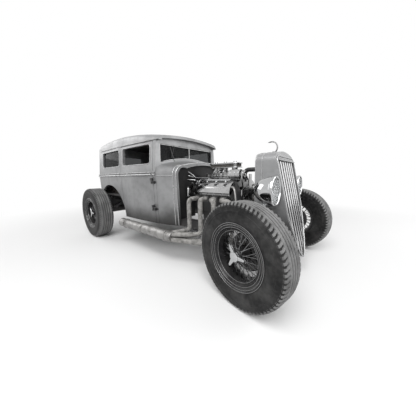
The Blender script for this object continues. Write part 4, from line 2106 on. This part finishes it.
@dataclass
class Cabin:
    """Padded seats, gauges and the floor lever."""

    front_x: float
    screen_x: float
    floor_z: float = 0.450
    rear_floor_z: float = 0.668
    front_seat_back: float = 1.400
    rear_seat_back: float = 2.120
    front_seat_y: float = 0.345
    gauges: int = 7
    gauge_step: float = 0.108
    first_gauge: Flat = (-0.216, 0.972)
    lever_back: float = 1.330

    BEZEL = ((0.034, 0.001), (0.040, 0.001), (0.0415, -0.004), (0.040, -0.009), (0.036, -0.010), (0.034, -0.007))
    DIAL = ((0.0, -0.004), (0.0345, -0.004), (0.0345, 0.001), (0.0, 0.001))
    KNOB = ((0.0, 0.024), (0.012, 0.021), (0.021, 0.010), (0.023, 0.0), (0.020, -0.011), (0.010, -0.020),
            (0.0, -0.021))
    BOOT = ((0.008, 0.050), (0.012, 0.046), (0.024, 0.024), (0.050, 0.004), (0.062, 0.0), (0.062, -0.004),
            (0.008, -0.004))

    def build(self, bench: Workbench) -> None:
        """Make the soft pieces and the small controls.

        Args:
            bench: makes and dresses the pieces.
        """
        front = [Seat(self.front_x - self.front_seat_back, self.floor_z, 0.172, side * self.front_seat_y)
                 for side in SIDES]
        rear = [Seat(self.front_x - self.rear_seat_back, self.rear_floor_z, 0.457, 0.0, channels=13)]
        for name, node, seats in (("front_pads", "front_seats", front), ("rear_pads", "rear_seat", rear)):
            made = bench.piece(name, [seat.mesh() for seat in seats], SEAT_LEATHER, replaces=(node,))
        for name, profile, closed, finish, slot in (("gauge_rims", self.BEZEL, True, CHROME, "chrome"),
                                                    ("gauge_faces", self.DIAL, False, GAUGE, "dash_paint")):
            form = MeshShop.lathe(profile, 40, closed)
            form.transform(facing(self.screen_x, *self.first_gauge))
            bench.piece(name, bench.row(form, finish, self.gauges, (0.0, self.gauge_step, 0.0)), finish)
        bench.piece("floor_lever", self._lever(), STEERING_BLACK)

    def _lever(self) -> list[Part]:
        """The floor lever with its knob and boot.

        Returns:
            Forms, bare or with their places.
        """
        x = self.front_x - self.lever_back
        return [
            MeshShop.tube([(x, 0.0, 0.70), (x - 0.010, 0.0, 0.80), (x - 0.050, 0.0, 0.885)], 0.008, 12),
            (MeshShop.lathe(self.KNOB, 28, False), shift(x - 0.053, 0.0, 0.892)),
            (MeshShop.lathe(self.BOOT, 32), shift(x, 0.0, 0.7155)),
        ]


@dataclass
class Studio:
    """Floor, light and the camera at the photograph's place."""

    eye: Point = (1.835, -1.764, 0.915)
    heading_deg: float = 51.10
    pitch_deg: float = 8.0
    roll_deg: float = -0.86
    lens_mm: float = 15.16
    sensor_mm: float = 36.0
    near_clip: float = 0.05
    floor_half: float = 30.0
    floor_tone: float = 0.78
    floor_rough: float = 0.9
    fade_start: float = 2.4
    fade_end: float = 5.5
    world_light: float = 0.42
    world_seen: float = 1.0

    LIGHTS = (
        ("key", (2.2, -3.2, 4.6), (0.0, 0.0, 0.6), 4.0, 290.0),
        ("fill", (4.6, 2.6, 2.8), (0.4, 0.0, 0.7), 4.0, 120.0),
        ("rear", (-4.5, -2.0, 3.4), (-0.6, 0.0, 0.8), 3.5, 85.0),
    )

    def build(self) -> None:
        """Make the floor, the lights, the world and the camera."""
        bpy.context.scene.view_settings.view_transform = "Standard"
        self._floor()
        self._lights()
        self._world()
        self._camera()

    def _floor(self) -> None:
        """A plain pale floor with the car's shadow on it, which fades to white far from the car."""
        mesh = bpy.data.meshes.new("studio_floor")
        half, tone = self.floor_half, self.floor_tone
        mesh.from_pydata([(-half, -half, 0), (half, -half, 0), (half, half, 0), (-half, half, 0)], [], [(0, 1, 2, 3)])
        floor = bpy.data.objects.new("studio_floor", mesh)
        bpy.context.collection.objects.link(floor)
        material = bpy.data.materials.new("studio_floor")
        material.use_nodes = True
        make = TreeMaker(material.node_tree)
        shader = make.tree.nodes["Principled BSDF"]
        make.feed(shader, {"Base Color": (tone, tone, tone, 1.0), "Roughness": self.floor_rough})
        spot = make.add("ShaderNodeTexCoord").outputs["Object"]
        far = make.add("ShaderNodeVectorMath", {0: spot}, operation="LENGTH").outputs["Value"]
        share = make.times(make.ramp(far, self.fade_start, self.fade_end), self._seen(make))
        glow = make.add("ShaderNodeEmission").outputs[0]
        mix = make.add("ShaderNodeMixShader", {0: share, 1: shader.outputs[0], 2: glow})
        make.feed(make.tree.nodes["Material Output"], {"Surface": mix.outputs[0]})
        mesh.materials.append(material)

    @staticmethod
    def _seen(make: TreeMaker) -> Socket:
        """1 for what the camera sees, straight on or in metal and glass, and 0 for light.

        Args:
            make: the tree's maker.

        Returns:
            The socket.
        """
        path = make.add("ShaderNodeLightPath").outputs
        mirrored = make.math("MAXIMUM", path["Is Glossy Ray"], path["Is Transmission Ray"])
        return make.math("MAXIMUM", path["Is Camera Ray"], mirrored)

    def _lights(self) -> None:
        """A large key light over the car's right, a fill and a rim light."""
        for name, place, aim, size, power in self.LIGHTS:
            lamp = bpy.data.lights.new(name, "AREA")
            lamp.energy = power
            lamp.size = size
            holder = bpy.data.objects.new(name, lamp)
            holder.location = place
            holder.rotation_euler = (Vector(aim) - Vector(place)).to_track_quat("-Z", "Y").to_euler()
            bpy.context.collection.objects.link(holder)

    def _world(self) -> None:
        """A pale surround: plain light on the car, white to the camera."""
        world = bpy.data.worlds.new("studio")
        world.use_nodes = True
        make = TreeMaker(world.node_tree)
        make.tree.nodes.clear()
        white = (1.0, 1.0, 1.0, 1.0)
        lit, seen = (make.add("ShaderNodeBackground", {"Color": white, "Strength": strength}).outputs[0]
                     for strength in (self.world_light, self.world_seen))
        mix = make.add("ShaderNodeMixShader", {0: self._seen(make), 1: lit, 2: seen})
        make.add("ShaderNodeOutputWorld", {0: mix.outputs[0]})
        bpy.context.scene.world = world

    def _camera(self) -> None:
        """The camera, low and wide beside the right front wheel."""
        lens = bpy.data.cameras.new("photo_camera")
        lens.sensor_fit = "HORIZONTAL"
        lens.sensor_width = self.sensor_mm
        lens.lens = self.lens_mm
        lens.clip_start = self.near_clip
        camera = bpy.data.objects.new("photo_camera", lens)
        heading, pitch = math.radians(self.heading_deg), math.radians(self.pitch_deg)
        ahead = Vector((-math.cos(heading) * math.cos(pitch), math.sin(heading) * math.cos(pitch), -math.sin(pitch)))
        aim = ahead.to_track_quat("-Z", "Y").to_matrix().to_4x4()
        camera.matrix_world = Matrix.Translation(self.eye) @ aim @ turned(self.roll_deg, "Z")
        bpy.context.collection.objects.link(camera)
        bpy.context.scene.camera = camera


def main() -> None:
    """Build the sub-assemblies in order, dress them and report each piece."""
    logging.basicConfig(level=logging.INFO, format="%(name)s: %(message)s")
    bench = Workbench()
    bench.shaders.paint_nodes()
    steer = math.radians(STEER_DEG)
    left = Vector((math.sin(steer), math.cos(steer), 0.0))
    front_x, rear_x = FRONT_AXLE_X, FRONT_AXLE_X - WHEELBASE
    stub = left * (FRONT_TRACK / 2 - KINGPIN_Y)
    for label, sign in NAMED_SIDES:
        centre = Vector((front_x, sign * KINGPIN_Y, FRONT_R)) + stub * sign
        RoadWheel(f"front_{label}", tuple(centre), tuple(left * sign), FRONT_R, FRONT_W).build(bench)
    for label, sign in NAMED_SIDES:
        RoadWheel(f"rear_{label}", (rear_x, sign * REAR_TRACK / 2, REAR_R), (0.0, sign, 0.0), REAR_R,
                  REAR_W).build(bench)
    Exhausts(front_x).build(bench)
    Grille(front_x).build(bench)
    Headlamps(front_x).build(bench)
    TailLamps().build(bench)
    side = BodySide(front_x - SCREEN_BACK, front_x - TAIL_BACK, front_x - DOOR_REAR_BACK)
    cowl = CowlForm(front_x - COWL_BACK, side.screen_x, side.half(side.screen_x, side.belt_z) - 0.003)
    BodyTrim(side, cowl, front_x - DOOR_FRONT_BACK, front_x - DOOR_REAR_BACK).build(bench)
    EngineDress(front_x).build(bench)
    Cabin(front_x, side.screen_x).build(bench)
    Studio().build()


if __name__ == "__main__":
    main()
